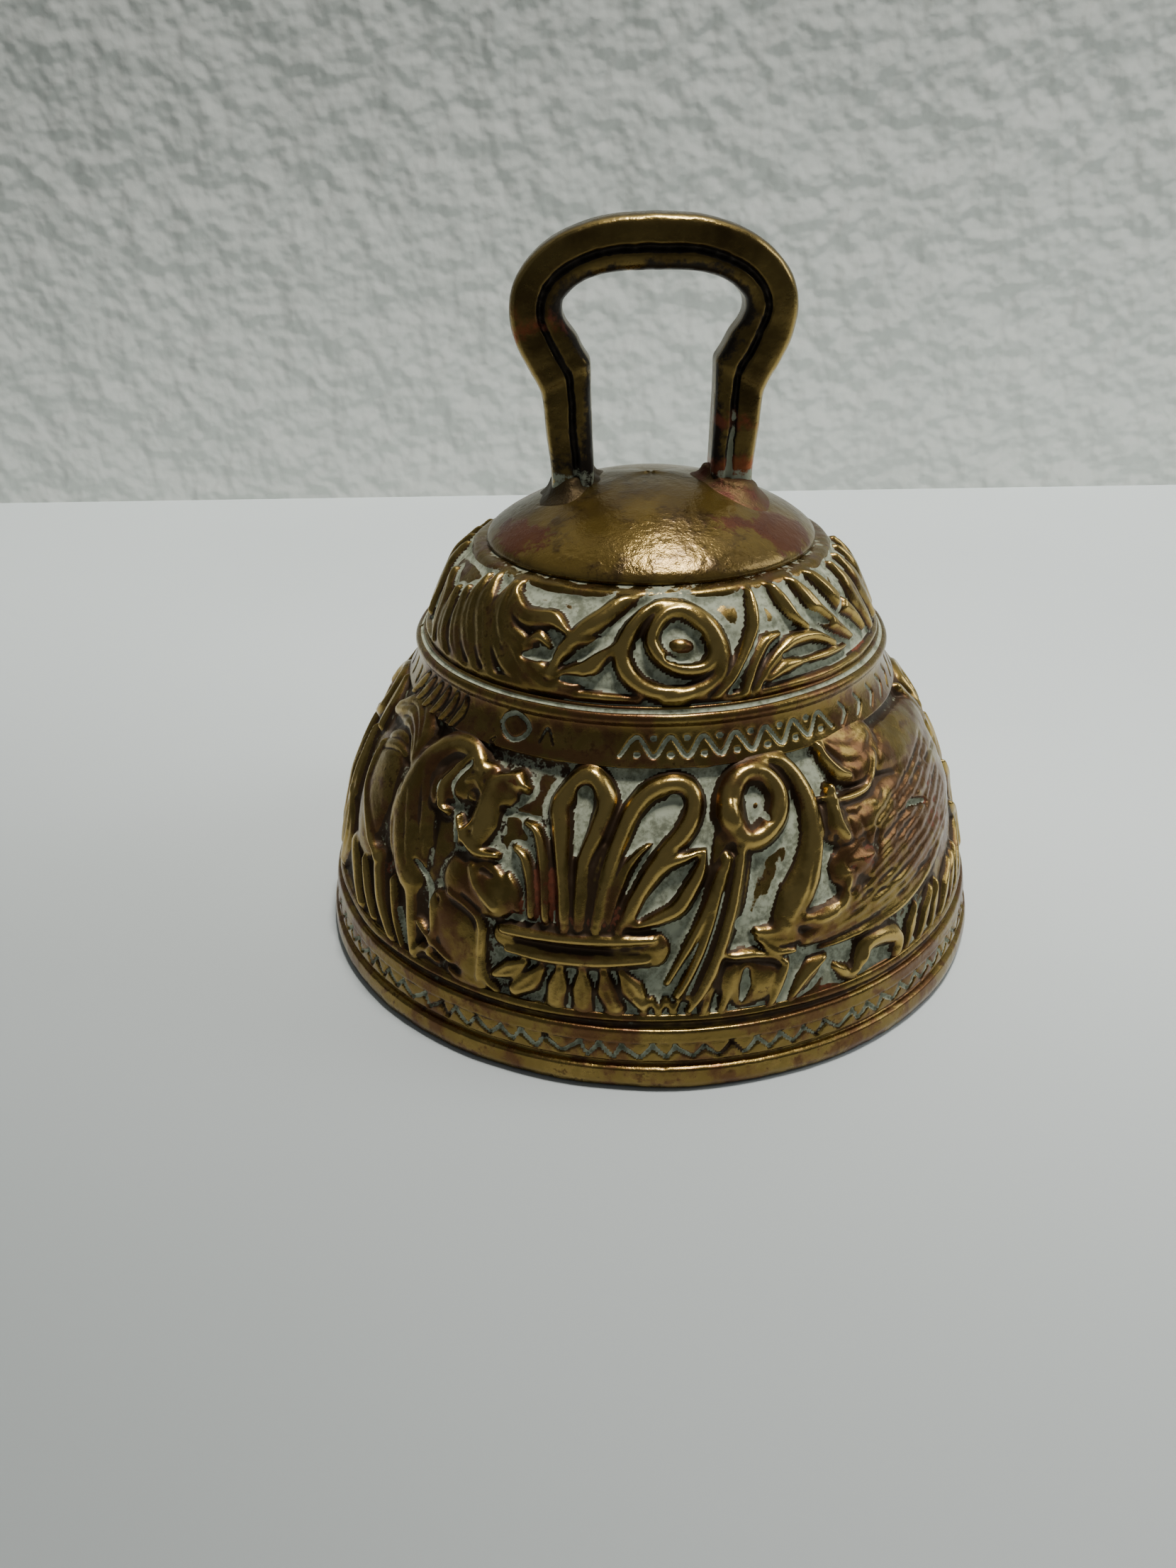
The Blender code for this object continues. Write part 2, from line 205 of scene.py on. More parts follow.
# ---------------------------------------------------------------------------
# Relief: a height map that is chased like a sheet of brass
# ---------------------------------------------------------------------------
class Relief:
    """Half a turn of one stretch of the bell's outside, repeated round its back."""

    def __init__(self, outline, rows, columns, ground, seed):
        self.line = evenly(smooth_line(outline, 24), rows)
        self.rows, self.columns = rows, columns
        self.column = HALF_TURN / columns
        self.radius, self.level = self.line[:, 0], self.line[:, 1]
        steps = np.linalg.norm(np.diff(self.line, axis=0), axis=1)
        self.run = np.concatenate([[0], np.cumsum(steps)])
        self.cell_up = self.run[-1] / (rows - 1)
        self.cell_round = math.pi * self.radius.mean() / columns
        along = np.gradient(self.line, axis=0)
        along /= np.linalg.norm(along, axis=1)[:, None]
        self.normal = np.stack([along[:, 1], -along[:, 0]], 1)
        shape = (rows, columns)
        self.ground = ground
        self.height = np.full(shape, float(ground))
        self.pale = np.zeros(shape)
        self.copper = np.zeros(shape)
        self.chance = np.random.default_rng(seed)
        self.fatten, self.stretch = 1.0, 0.0
        self.fuse, self.ditch = CRISP_STRIPS

    def grain(self, size, strength):
        """Even random waviness with bumps of one size."""
        grid = self.chance.standard_normal((self.rows, self.columns))
        grid = blur(grid, size / self.cell_up, size / self.cell_round)
        return grid / grid.std() * strength

    def near(self, points, reach, closed):
        """Cells near a smooth line: their place, distance, run along it and side."""
        line = smooth_line(points, 7, closed)
        if closed:
            line = np.vstack([line, line[:1]])
        radius = np.interp(line[:, 1], self.level, self.radius).mean()
        scale = DEGREE * radius
        tops = line[:, 1] + self.stretch * soft_step(line[:, 1], *STRETCHED)
        up = np.interp(tops, self.level, self.run)
        across = line[:, 0] * scale
        column = self.column
        low = int(math.floor((across.min() - reach) / scale / column + self.columns / 2))
        high = int(math.ceil((across.max() + reach) / scale / column + self.columns / 2))
        bottom = max(0, int(math.floor((up.min() - reach) / self.cell_up)))
        top = min(self.rows - 1, int(math.ceil((up.max() + reach) / self.cell_up)))
        if top < bottom:
            return None
        columns = np.arange(low, high + 1)
        rows = np.arange(bottom, top + 1)
        x = ((columns - self.columns / 2) * column * scale)[None, :, None]
        y = self.run[rows][:, None, None]
        ax, ay, dx, dy = across[:-1], up[:-1], np.diff(across), np.diff(up)
        size = np.maximum(dx * dx + dy * dy, 1e-9)
        share = np.clip(((x - ax) * dx + (y - ay) * dy) / size, 0, 1)
        away_x, away_y = x - ax - share * dx, y - ay - share * dy
        distance = away_x**2 + away_y**2
        best = distance.argmin(2)[..., None]
        pick = lambda grid: np.take_along_axis(np.broadcast_to(grid, distance.shape), best, 2)[..., 0]
        lengths = np.sqrt(size)
        start = np.concatenate([[0], np.cumsum(lengths)])[:-1]
        run = pick(start + share * lengths) / lengths.sum()
        side = np.sign(pick(dx * away_y - dy * away_x))
        place = np.ix_(rows, columns % self.columns)
        return place, np.sqrt(pick(distance)), run, side

    def widths_at(self, run, widths):
        """The half width at each share of a line's run."""
        widths = np.atleast_1d(np.array(widths, float))
        if len(widths) == 1:
            return np.full_like(run, widths[0])
        return np.interp(run, np.linspace(0, 1, len(widths)), widths)

    def ridge(self, points, widths, height, groove=None, veins=0, cut=0.3, closed=False, crisp=0.95):
        """A raised, rounded strip with a ditch beside it. Its half widths are spread along it."""
        found = self.near(points, np.max(widths) * self.fatten + DITCH_ROOM, closed)
        if not found:
            return
        place, distance, run, side = found
        width = np.maximum(self.widths_at(run, widths) * self.fatten, 0.05)
        share = distance / width
        dome = np.clip(1 - share**2, 0, 1) ** crisp
        if veins:
            wave = np.abs(np.sin(share * side * math.pi * veins / 2 + math.pi / 2 * (veins % 2)))
            dome = dome * (1 - cut * (1 - wave) ** 1.5)
        here = self.height[place]
        outside = np.where(share > 1, np.exp(-(((distance - width) / DITCH_REACH) ** 2)), 0)
        groove = self.ditch if groove is None else groove
        here = np.maximum(here - groove * outside, self.ground - DEEPEST_DITCH)
        raised = np.where(share < 1, self.ground + height * dome, FAR_BELOW)
        self.height[place] = np.logaddexp(here / self.fuse, raised / self.fuse) * self.fuse
        self.pale[place] *= np.where(share < 1, 0.15, 1)

    def trace(self, points, widths, closed=False):
        """Cells near a cut, with their distance as a share of its half width."""
        found = self.near(points, np.max(widths) + CUT_ROOM, closed)
        if found:
            place, distance, run, _ = found
            return place, distance / np.maximum(self.widths_at(run, widths), 0.03)

    def cut_line(self, points, widths, depth, pale=0.0, closed=False):
        """Engraves a line. The cut may hold pale residue."""
        found = self.trace(points, widths, closed)
        if found:
            place, share = found
            trough = np.clip(1 - share**2, 0, 1) ** 0.7
            self.height[place] -= depth * trough
            self.pale[place] = np.maximum(self.pale[place], pale * np.minimum(1, trough * 2))

    def pocket(self, points, widths, floor=None, pale=1.0):
        """Sinks an area to the ground and fills it with pale residue."""
        found = self.trace(points, widths)
        if found:
            place, share = found
            inside = 1 - soft_step(share, 0.7, 1.05)
            level = self.ground if floor is None else floor
            here = self.height[place]
            self.height[place] = here + (np.minimum(here, level) - here) * inside
            self.pale[place] = np.maximum(self.pale[place], pale * inside)

    def away_from(self, angle):
        """Degrees from an angle to each column, the shorter way round the half turn."""
        away = (np.arange(self.columns) - self.columns / 2) * self.column - angle
        return (away + HALF_TURN / 2) % HALF_TURN - HALF_TURN / 2

    def boss(self, place, size, height, tilt=0.0):
        """An oval dome added at one place: size is half width and half height in mm."""
        angle, level = place
        middle = np.interp(level, self.level, self.run)
        radius = np.interp(level, self.level, self.radius)
        x = (self.away_from(angle) * DEGREE * radius)[None, :]
        y = (self.run - middle)[:, None]
        turn = math.radians(tilt)
        u = (x * math.cos(turn) + y * math.sin(turn)) / size[0]
        v = (y * math.cos(turn) - x * math.sin(turn)) / size[1]
        self.height += height * np.clip(1 - u * u - v * v, 0, 1) ** 0.75

    def spots(self, grid, patches):
        """Soft-edged patches on the pale or the copper map: place, size in degrees and mm, strength."""
        for (angle, level), size, strength in patches:
            u, v = self.away_from(angle)[None, :] / size[0], (self.level[:, None] - level) / size[1]
            grid += strength * np.exp(-(u * u + v * v))

    def settle(self, share, level):
        """Brings the relief to one level where share is 1, to meet the piece next to it."""
        self.height = self.height * (1 - share) - level * share

    def finish(self, soften):
        """Wears the edges and works out crests and hollows for the finish."""
        self.height = blur(self.height, soften / self.cell_up, soften / self.cell_round)
        wide, tight = (blur(self.height, reach / self.cell_up, reach / self.cell_round) for reach in (1.25, 0.42))
        self.crest = np.clip((self.height - wide) / 0.38, 0, 1)
        sideways = (np.roll(self.height, -1, 1) - np.roll(self.height, 1, 1)) / (2 * self.cell_round)
        steep = np.hypot(np.gradient(self.height, self.cell_up, axis=0), sideways)
        self.hollow = (wide - self.height) / 0.42 + (tight - self.height) / 0.16 + 0.5 * soft_step(steep, 0.45, 1.3)
        self.hollow = np.clip(self.hollow, 0, 1)
        return self


# ---------------------------------------------------------------------------
# The chased scenes
# ---------------------------------------------------------------------------
def chase_fountain(art):
    """Two looped jets and a curled leaf that rise from a basin on petals."""
    left = [(-16, 16.9), (-16.2, 18.2), (-16.8, 20.7), (-17.8, 23.4), (-18.6, 25.7), (-19.2, 28)]
    art.ridge(left + [(-15, 30.2), (-10.8, 28.5), (-11.9, 25.7), (-13.6, 23.4), (-13.8, 20), (-13.7, 17)],
              (.62, .7, .75, .85, .98, 1.05, 1.0, .9, .78, .62, .55), 1.3)
    art.pocket([(-15, 28.7), (-15.1, 26.5), (-15.3, 23.6)], (.95, .85, .2))
    art.ridge([(-12.4, 17), (-12.2, 20), (-11.2, 23.2), (-10.4, 24.6)], (.4, .5, .45, .15), .95)
    art.ridge([(-9.3, 17), (-8.4, 20), (-6.8, 22.6), (-4.6, 24.1), (-2.6, 24.9)], (.4, .55, .6, .5, .15), 1.0)
    loop = [(-11, 17), (-10.3, 20), (-9.2, 23), (-7.5, 26), (-5.5, 28), (-2.5, 29.3), (1.5, 29.8)]
    loop += [(4.5, 29.5), (5.6, 28.5), (4.8, 27), (2.7, 25.5), (.5, 24.4), (-2, 22.8), (-4, 21), (-6, 19)]
    art.ridge(loop + [(-7.4, 17)], (.5, .62, .72, .8, .85, .88, .9, .85, .78, .7, .62, .5), 1.3)
    art.pocket([(1.9, 28.3), (-1, 27.2), (-4, 25.6), (-6.6, 23.9)], (1.05, 1.0, .7, .15))
    art.ridge([(-5.5, 17.6), (-4.6, 20), (-2.5, 22), (0, 23.2), (3, 23.7), (6.8, 24.3)],
              (.45, .7, .75, .7, .5, .2), 1.2)
    art.ridge([(6.8, 24.3), (5.4, 22.2), (4, 20.9), (2, 19.3), (-.9, 18.4), (-4.6, 17.6)],
              (.2, .6, .7, .7, .6, .4), 1.15)
    art.pocket([(2.6, 22.6), (.4, 21.5), (-2.3, 20), (-4.4, 18.4)], (.35, .62, .55, .15))
    art.ridge([(-19.2, 17.2), (-19.9, 20), (-20.9, 22.8), (-22.8, 25), (-25.5, 25.7)], (.45, .6, .65, .55, .2), 1.1)
    art.ridge([(-21.8, 17.3), (-22.4, 20), (-24.2, 22.4), (-26.8, 23.3)], (.4, .55, .55, .2), 1.0)
    art.ridge([(-24.2, 17.6), (-25.2, 19.6), (-27, 20.8)], (.35, .45, .15), .85)
    art.cut_line([(1.5, 16.7), (4.3, 18.3)], (.5, .3), .3)
    art.ridge([(-26, 14.8), (-20, 14.7), (-12, 14.9), (-2.4, 15.2)], (1.0, 1.5, 1.6, 1.3), .85, crisp=.3)
    art.ridge([(-26.5, 15.4), (-22, 15.5), (-14, 15.8), (-7, 16.1), (-2, 16.3)], (.3, .48, .55, .55, .3), 1.35)
    art.ridge([(-25.5, 13.4), (-18, 13.4), (-10, 13.7), (-3, 14.2)], (.3, .5, .55, .4), 1.25)
    art.cut_line([(-24, 14.6), (-16, 14.7), (-9, 14.9)], (.25, .5, .2), .55)
    for line, widths in (
        ([(-22.4, 12.4), (-24.4, 11.4), (-27.2, 10.4)], (.4, .8, .4)),
        ([(-19.4, 12.2), (-21.2, 10.6), (-23.6, 9.3)], (.4, .9, .65)),
        ([(-16.5, 12.4), (-16.8, 10.4), (-17, 8.9)], (.4, .84, .8)),
        ([(-12.9, 12.5), (-12.8, 10.4), (-12.6, 8.9)], (.4, .84, .8)),
        ([(-9.6, 12.5), (-8.9, 10.5), (-7.8, 9)], (.4, .84, .75)),
        ([(-6.8, 12.6), (-5.2, 11), (-3.8, 9.6)], (.4, .9, .6)),
    ):
        art.ridge(line, widths, 1.05, groove=.1, crisp=.5)
        art.cut_line(line, (.1, .34, .1), .3)
    for angle in (-3.4, -1.2, 1.0):
        art.ridge([(angle - 1, 10), (angle, 8.7), (angle + 1, 10)], (.2, .32, .2), .75)


def chase_bird(art):
    """A long-billed bird bent over its breast, with its neck, body and wing."""
    art.ridge([(12.2, 25), (9.6, 20), (6.8, 15.2), (3.6, 10.4)], (1.5, 1.5, 1.35, .7), .8, crisp=.35)
    art.ridge([(13, 24.2), (10.5, 19), (8, 14.5), (5.5, 11), (3.3, 8.7)], (.62, .6, .55, .5, .25), 1.4, groove=.3)
    art.ridge([(10.4, 23.4), (7.5, 19), (4.5, 14), (1.5, 10.3)], (.5, .55, .5, .3), 1.3, groove=.3)
    art.ridge([(8.9, 22.4), (5.5, 18), (2.5, 14.5), (0, 11.6)], (.35, .45, .42, .2), 1.15)
    art.cut_line([(9.2, 20.4), (6.3, 15.4), (3.2, 10.6)], (.2, .22, .2), .15, pale=.8)
    art.cut_line([(6.9, 18.7), (4, 14.8), (1.3, 11.3)], (.2, .2, .2), .15, pale=.6)
    neck = [(17.5, 30.8), (22.5, 31), (26.2, 29.4), (27.6, 26.8), (27, 23.8), (24.6, 21), (21.6, 18.8), (19.4, 16.4)]
    art.ridge(neck, (.5, .75, .85, .9, 1.0, 1.15, 1.3, 1.1), 1.25, crisp=.55)
    art.cut_line([(24.8, 28.2), (25.9, 25.6), (24.4, 22.8), (21.8, 20.2)], (.1, .2, .2, .1), .18)
    art.cut_line([(26.2, 22.6), (23.8, 19.6), (21.4, 17.2)], (.1, .2, .1), .18)
    art.pocket([(29.4, 31), (31.2, 29.6), (31.4, 27.4), (30.6, 24.6)], (.8, .85, .5, .3))
    art.pocket([(30.4, 25), (29.2, 22.6), (28.6, 20.4), (28.6, 18.8)], (.3, .5, .95, 1.15))
    art.ridge([(22.4, 16.4), (26.4, 16.2), (30, 16.8), (31.8, 19)], (.7, .8, .75, .3), 1.2)
    ring = [(11.9, 27), (13, 29), (16, 30.1), (20, 29.8), (22, 28.2), (20.8, 26.4), (17.5, 25), (13.8, 24.9)]
    art.ridge(ring, (1.25, 1.1, .95, .95, .95, .95, 1.0, 1.2), 1.55, closed=True)
    art.boss((11.6, 27), (1.15, 1.5), .35)
    art.pocket([(15.6, 28.3), (17.2, 27.4), (18.6, 26.3)], (.3, .5, .3), floor=-.4)
    art.boss((17.2, 27.5), (.45, .3), .3, 40)
    art.pocket([(20.2, 22.8), (17.4, 20.4), (14.8, 17.4)], (.3, .7, 1.0))
    art.pocket([(12, 17.2), (15, 14.8), (19, 13.2)], (.9, .45, .3))
    art.ridge([(14.4, 16.2), (17, 15.5), (20.6, 15)], (.4, 1.25, .7), 1.2, veins=2)
    art.ridge([(14.3, 15.5), (17, 14), (20.5, 13.6)], (.2, .4, .3), 1.2)
    # wing
    art.ridge([(32, 24.4), (37, 23.4), (46, 23), (58, 23.4), (72, 24)], (1.5, 2.2, 2.6, 2.7, 2.4), 1.05, crisp=.5)
    art.ridge([(34.4, 23), (33.6, 20), (32.4, 17)], (1.2, 1.5, 1.2), 1.0, crisp=.5)
    art.ridge([(44, 28.4), (52, 28), (62, 27.4), (74, 27)], (1.0, 1.9, 2.2, 2.0), 1.0, crisp=.5)
    art.ridge([(33, 27.4), (32.2, 25.8), (32.2, 24.2), (33.4, 22.8)], (.5, .9, .9, .4), 1.5)
    art.ridge([(30.4, 26.8), (34, 26.2), (40, 26), (44, 26.7), (47.4, 28.5)], (.2, .34, .4, .36, .2), 1.2)
    art.ridge([(35.2, 31), (39, 29.8), (43, 29.3), (48, 30)], (.8, 2.2, 2.3, 1.2), 1.05, veins=3, cut=.2, crisp=.35)
    art.ridge([(34.3, 31), (34.6, 29.8), (36.6, 28.3), (39, 27.6)], (.3, .45, .45, .2), 1.35)
    art.ridge([(23, 14.6), (36, 15.8), (50, 17), (66, 19)], (.8, 2.1, 2.5, 2.0), .95, crisp=.5)
    art.ridge([(32, 20), (44, 19.6), (58, 20.4), (72, 21)], (1.4, 2.6, 2.9, 2.2), 1.0, crisp=.5)
    for index in range(9):
        lift = index * 1.02
        line = [(21.5 + 1.7 * index, 13 + lift * .8), (31 + 1.2 * index, 13.8 + lift),
                (42, 14.7 + lift * 1.06), (56, 16.6 + lift * 1.04), (68, 18.4 + lift)]
        line = [(angle, level + art.chance.uniform(-.16, .16)) for angle, level in line]
        art.cut_line(line, (.1, .24, .2, .24, .1), .26, pale=.35)
    for _ in range(110):
        angle, level = art.chance.uniform(29, 66), art.chance.uniform(15, 25.5)
        reach = art.chance.uniform(.8, 2.2)
        art.cut_line([(angle, level), (angle + reach, level - .1), (angle + 2 * reach, level + .2)], (.08, .2, .08),
                     art.chance.uniform(.08, .2), pale=.25)
    for _ in range(40):
        angle, level = art.chance.uniform(29, 64), art.chance.uniform(16, 25.5)
        art.boss((angle, level), (art.chance.uniform(.4, .9), art.chance.uniform(.25, .45)),
                 art.chance.uniform(.06, .14))
    art.ridge([(33, 20.6), (35.5, 20.3), (38.2, 20.4)], (.3, 1.25, .4), 1.3)
    art.pocket([(51, 22.5), (54, 22.2), (57.5, 21.5)], (.2, .42, .2), pale=.9)


def chase_ground(art):
    """The mound, leaves and chick at the foot of the bird."""
    art.ridge([(7.4, 12.6), (11.6, 11.4), (16.4, 10.8)], (1.0, 1.9, 1.4), .95, crisp=.5)
    art.ridge([(7.4, 14.7), (9.8, 14.2), (14.5, 14), (18.7, 12.8), (17.6, 10.6), (15.8, 7.9)],
              (.25, .42, .42, .42, .4, .3), 1.2)
    art.ridge([(7.6, 14), (6.4, 11.2), (5.6, 8.4)], (.4, .7, .4), 1.05)
    art.ridge([(10.4, 13), (9.4, 10.6), (8.4, 8.6)], (.3, .6, .35), 1.0)
    art.pocket([(12.4, 12.4), (12.2, 11), (11.6, 9.4)], (.35, .62, .3))
    art.ridge([(19.4, 8.6), (21.6, 10.3), (24, 11.4), (26.2, 12)], (.3, .85, .8, .2), 1.15, veins=3, cut=.45)
    art.pocket([(17.9, 7.9), (19.7, 10.6), (22.4, 12.5), (24.8, 12.9)], (.5, .45, .35, .2))
    art.ridge([(25.4, 13), (33, 13.2), (40, 13.4), (48, 14.2), (58, 16.4)], (.2, .45, .5, .5, .3), 1.05)
    art.ridge([(27.6, 10.6), (30, 9.2), (31.6, 8.4)], (.25, .7, .3), 1.0)
    art.ridge([(31.5, 9.3), (34, 11.4), (38, 11.6), (41.6, 10.4), (41, 8.7)], (.5, .9, 1.0, .9, .5), 1.25)
    art.boss((33.2, 10.4), (.85, .8), .35)
    art.pocket([(34.6, 8.8), (37.4, 9.2), (39.6, 8.7)], (.35, .6, .3))
    for angle, lean in ((44, 2), (48, 3), (52.4, 2), (56.5, 4), (61, 3), (66, 2), (71, 4)):
        art.ridge([(angle, 8.6), (angle + lean, 10.6), (angle + 2 * lean, 12.6)], (.5, .75, .2), 1.0, veins=2)
    for angle in (30, 45, 58):
        art.pocket([(angle, 13.9 + .05 * (angle - 30)), (angle + 5, 14.1 + .06 * (angle - 30))], (.22, .25), pale=.7)


def chase_beast(art):
    """The maned beast at the left, with the small head and the block below it."""
    art.fuse, art.ditch = MERGED_STRIPS
    art.ridge([(-50, 26.4), (-51, 23.5), (-49.5, 20), (-47, 16.5)], (1.6, 2.2, 2.3, 1.3), 1.05, crisp=.45)
    art.ridge([(-31, 27.8), (-36, 28), (-42, 27.6), (-46, 25.6)], (1.1, 1.6, 1.7, 1.0), 1.1, crisp=.45)
    art.pocket([(-41.4, 25.4), (-40.2, 23.8), (-39.4, 22)], (.3, .5, .2), floor=-.6, pale=.8)
    mane = [(-36.5, 28.6), (-40.5, 29.9), (-45.5, 30.2), (-50, 28.8), (-53, 26), (-53.4, 22.6), (-51, 19.4)]
    art.ridge(mane + [(-47.6, 16.4)], (.6, .95, 1.15, 1.35, 1.6, 1.7, 1.5, .9), 1.4, crisp=.6)
    for start, bend, end in (
        ((-53, 24.4), (-50.6, 21), (-47.5, 17.6)), ((-51, 26.6), (-48.4, 23), (-45.6, 19.2)),
        ((-48.6, 27), (-46.8, 24), (-44.4, 21)), ((-54, 21.4), (-52.2, 18.4), (-49.5, 15.8)),
        ((-46.4, 22), (-44.8, 18.6), (-43.2, 16.6)),
    ):
        art.cut_line([start, bend, end], (.1, .3, .1), .26)
    art.ridge([(-41, 29.4), (-43.6, 27.8), (-44.8, 26.4), (-44, 24.8), (-42.4, 24.4)], (.3, .62, .7, .6, .3), 1.5)
    art.cut_line([(-43.5, 28.3), (-45.7, 26.6), (-45.2, 25.2), (-43, 24.7)], (.2, .24, .24, .2), .3, pale=.9)
    art.cut_line([(-40, 29.2), (-42, 27.6), (-42.4, 26.6), (-41, 25.2)], (.2, .24, .24, .2), .3, pale=.9)
    art.ridge([(-33.2, 28.2), (-33.6, 26), (-33.8, 24), (-34, 22.8)], (.8, 1.1, 1.2, .8), 1.4, crisp=.6)
    art.ridge([(-37.5, 22.9), (-34, 22), (-29.6, 22.1)], (.3, .55, .3), 1.45)
    art.ridge([(-39.6, 27.6), (-37.4, 28), (-35.2, 27.2)], (.2, .4, .2), 1.45)
    art.boss((-37.4, 26.4), (.75, .5), .35)
    art.cut_line([(-38.9, 26.4), (-37.5, 27), (-36.1, 26.4)], (.15, .2, .15), .25)
    art.cut_line([(-38.7, 26), (-37.5, 25.7), (-36.3, 26)], (.15, .18, .15), .2)
    art.ridge([(-39.5, 24.4), (-37.6, 23.2), (-35.8, 24.2)], (.25, .4, .25), 1.35)
    art.ridge([(-32, 28.8), (-29.4, 28.8), (-26.8, 28.4)], (.5, 1.05, .4), 1.35)
    art.cut_line([(-30.4, 26.2), (-27, 26.1), (-23.5, 26)], (.3, .4, .25), .6)
    art.pocket([(-28.6, 25.2), (-26.2, 24.6)], (.4, .3), pale=.8)
    art.boss((-35.6, 29.4), (1.2, .9), .3, 20)
    # small head
    art.ridge([(-35, 18.9), (-32, 18.8), (-28.6, 18.5)], (1.9, 2.3, 1.7), 1.15, crisp=.42)
    art.cut_line([(-37.4, 21.1), (-35.4, 20.9)], (.5, .4), .4)
    art.cut_line([(-31.4, 20.5), (-29.4, 20.2)], (.45, .35), .4)
    art.ridge([(-33.6, 20.6), (-31.6, 18.9), (-28.2, 17.4)], (.3, .5, .5), 1.45)
    art.cut_line([(-34.6, 17.8), (-32.4, 17.2), (-30.6, 16.7)], (.15, .2, .15), .3)
    art.ridge([(-37.6, 22.2), (-36.2, 23), (-34.4, 22.6)], (.25, .5, .25), 1.25)
    # block
    art.ridge([(-38.2, 14.9), (-35.6, 13.5), (-33, 11.8), (-31.4, 10.4)], (1.6, 2.1, 2.1, 1.3), 1.05, crisp=.22)
    art.ridge([(-37.2, 17.4), (-30.6, 15.5), (-29.9, 9.2)], (.3, .4, .3), 1.25)
    art.ridge([(-43.2, 12.6), (-38, 10.8), (-35.4, 10)], (.35, .5, .3), 1.25)
    art.ridge([(-40.4, 15.6), (-39.6, 12.6), (-40.2, 9.6)], (.4, .6, .3), 1.2)
    art.pocket([(-46, 18.7), (-42.4, 16.6), (-41.6, 14.2), (-40.7, 12.4)], (.2, .5, .5, .2), pale=.9)
    art.cut_line([(-39.6, 16.1), (-39.3, 15.8)], (.4, .3), .4)
    # legs
    art.ridge([(-57, 16), (-54, 12), (-50, 8.7)], (.95, .9, .5), 1.25)
    art.ridge([(-46.4, 16), (-45, 12), (-44, 8.5)], (.9, .8, .5), 1.2)
    art.ridge([(-51.6, 15), (-49.4, 11), (-47, 8.4)], (.5, .6, .3), .95)
    art.cut_line([(-49.2, 12.3), (-46.6, 9)], (.28, .2), .3, pale=.9)
    # haunch at the side
    art.ridge([(-66, 26), (-66, 22), (-64, 17)], (2.2, 3.0, 1.9), 1.05, crisp=.45)
    art.ridge([(-70.5, 26), (-70, 24), (-68.5, 21.5), (-63, 18.7), (-60, 17), (-56.6, 16)],
              (.3, .5, .55, .55, .5, .3), 1.35)
    art.cut_line([(-66, 15), (-63, 13), (-60.5, 11.5), (-58, 10)], (.3, .4, .4, .3), .45)
    art.ridge([(-68, 14.5), (-65, 11.5), (-61.5, 9)], (1.1, 1.0, .5), 1.15)
    art.ridge([(-62.6, 14.2), (-59.6, 11.6), (-56, 9)], (.5, .7, .3), 1.1)
    art.ridge([(-74, 29), (-67, 30.2), (-60, 29.4), (-56.6, 27)], (.8, 1.7, 1.6, .7), 1.1, crisp=.5)
    for index in range(6):
        high = 31.6 - 1.0 * index
        art.cut_line([(-76 + index, high - 1.6), (-68 + index, high - .2), (-61 + .6 * index, high - 1.2),
                      (-57 + .4 * index, high - 3)], (.1, .3, .3, .1), .34)
    # between the haunch and the wing of the next scene
    for angle, low, high in ((-91, 9, 24), (-86, 9, 20), (-81, 10, 25), (-77, 9, 18), (-96, 9, 19), (-101, 9, 15)):
        art.ridge([(angle, low), (angle + 2.4, (low + high) / 2), (angle - 1.2, high)], (.6, 1.2, .3), 1.15,
                  veins=3, cut=.4)
    art.ridge([(-99, 26.5), (-96, 29.4), (-90, 30), (-85.6, 28.2), (-87, 25.6), (-91, 25.4)],
              (.4, .7, .8, .8, .7, .3), 1.15)
    art.ridge([(-84, 30.4), (-80.6, 28.4), (-79, 25.6)], (.5, .85, .3), 1.1, veins=2)
    art.ridge([(-104, 30), (-101, 27), (-99.6, 23)], (.6, 1.1, .3), 1.1, veins=2)
    art.boss((-90.6, 27.6), (.8, .7), .45)
    art.fuse, art.ditch = CRISP_STRIPS
    for line in ([(-44, 8.6), (-41.6, 10), (-38.4, 9.2)], [(-36, 9), (-33, 8.4), (-29, 8.6)],
                 [(-29.5, 11.5), (-28.8, 9.6), (-26.8, 8.6)]):
        art.ridge(line, (.3, .6, .25), .95)


def chase_flank(rows, columns):
    """The main scenes, from the rim mouldings up to the band."""
    art = Relief(FLANK, rows, columns, ground=-0.85, seed=SEEDS["flank"])
    art.height += art.grain(2.2, 0.10)
    art.fatten = 1.55
    art.pale += 0.35
    art.spots(art.pale, (((-6, 20), (26, 13), .5), ((24, 24), (13, 9), .35), ((30, 10), (26, 2.5), .4)))
    chase_beast(art)
    chase_ground(art)
    chase_bird(art)
    chase_fountain(art)
    art.height += art.grain(1.4, 0.035) + art.grain(0.5, 0.014)
    art.spots(art.copper, (
        ((58, 19), (17, 9), .38), ((-66, 18), (14, 9), .35),
        ((-20, 20), (3.4, 3.4), .95), ((-9, 20), (2.2, 3.2), .7), ((-29.5, 28.7), (3, 1.1), 1.1),
        ((4, 22), (4, 1.2), .5), ((35.5, 20.3), (2.6, 1.2), 1.2), ((22, 8.4), (9, .8), .9),
        ((-40, 11.2), (4.5, 1.4), .8), ((-15.5, 17.6), (9, .8), .6), ((44, 8.6), (9, 1.0), .6),
        ((60, 20), (7, 4), .5), ((31, 21), (4, 2), .45), ((-8, 8.4), (8, .5), .5), ((-52, 16), (4, 2), .5),
        ((-30, 21.6), (3, 1), .5), ((29.5, 29.4), (2, 1.4), .45), ((-26, 18), (2.5, 1.4), .5),
    ))
    # the mouldings and the band meet the relief at their own level
    edge = (soft_step(art.level, 8.9, 8.0) + soft_step(art.level, 30.6, 31.4))[:, None]
    art.settle(edge, 0.1)
    return art.finish(0.19)


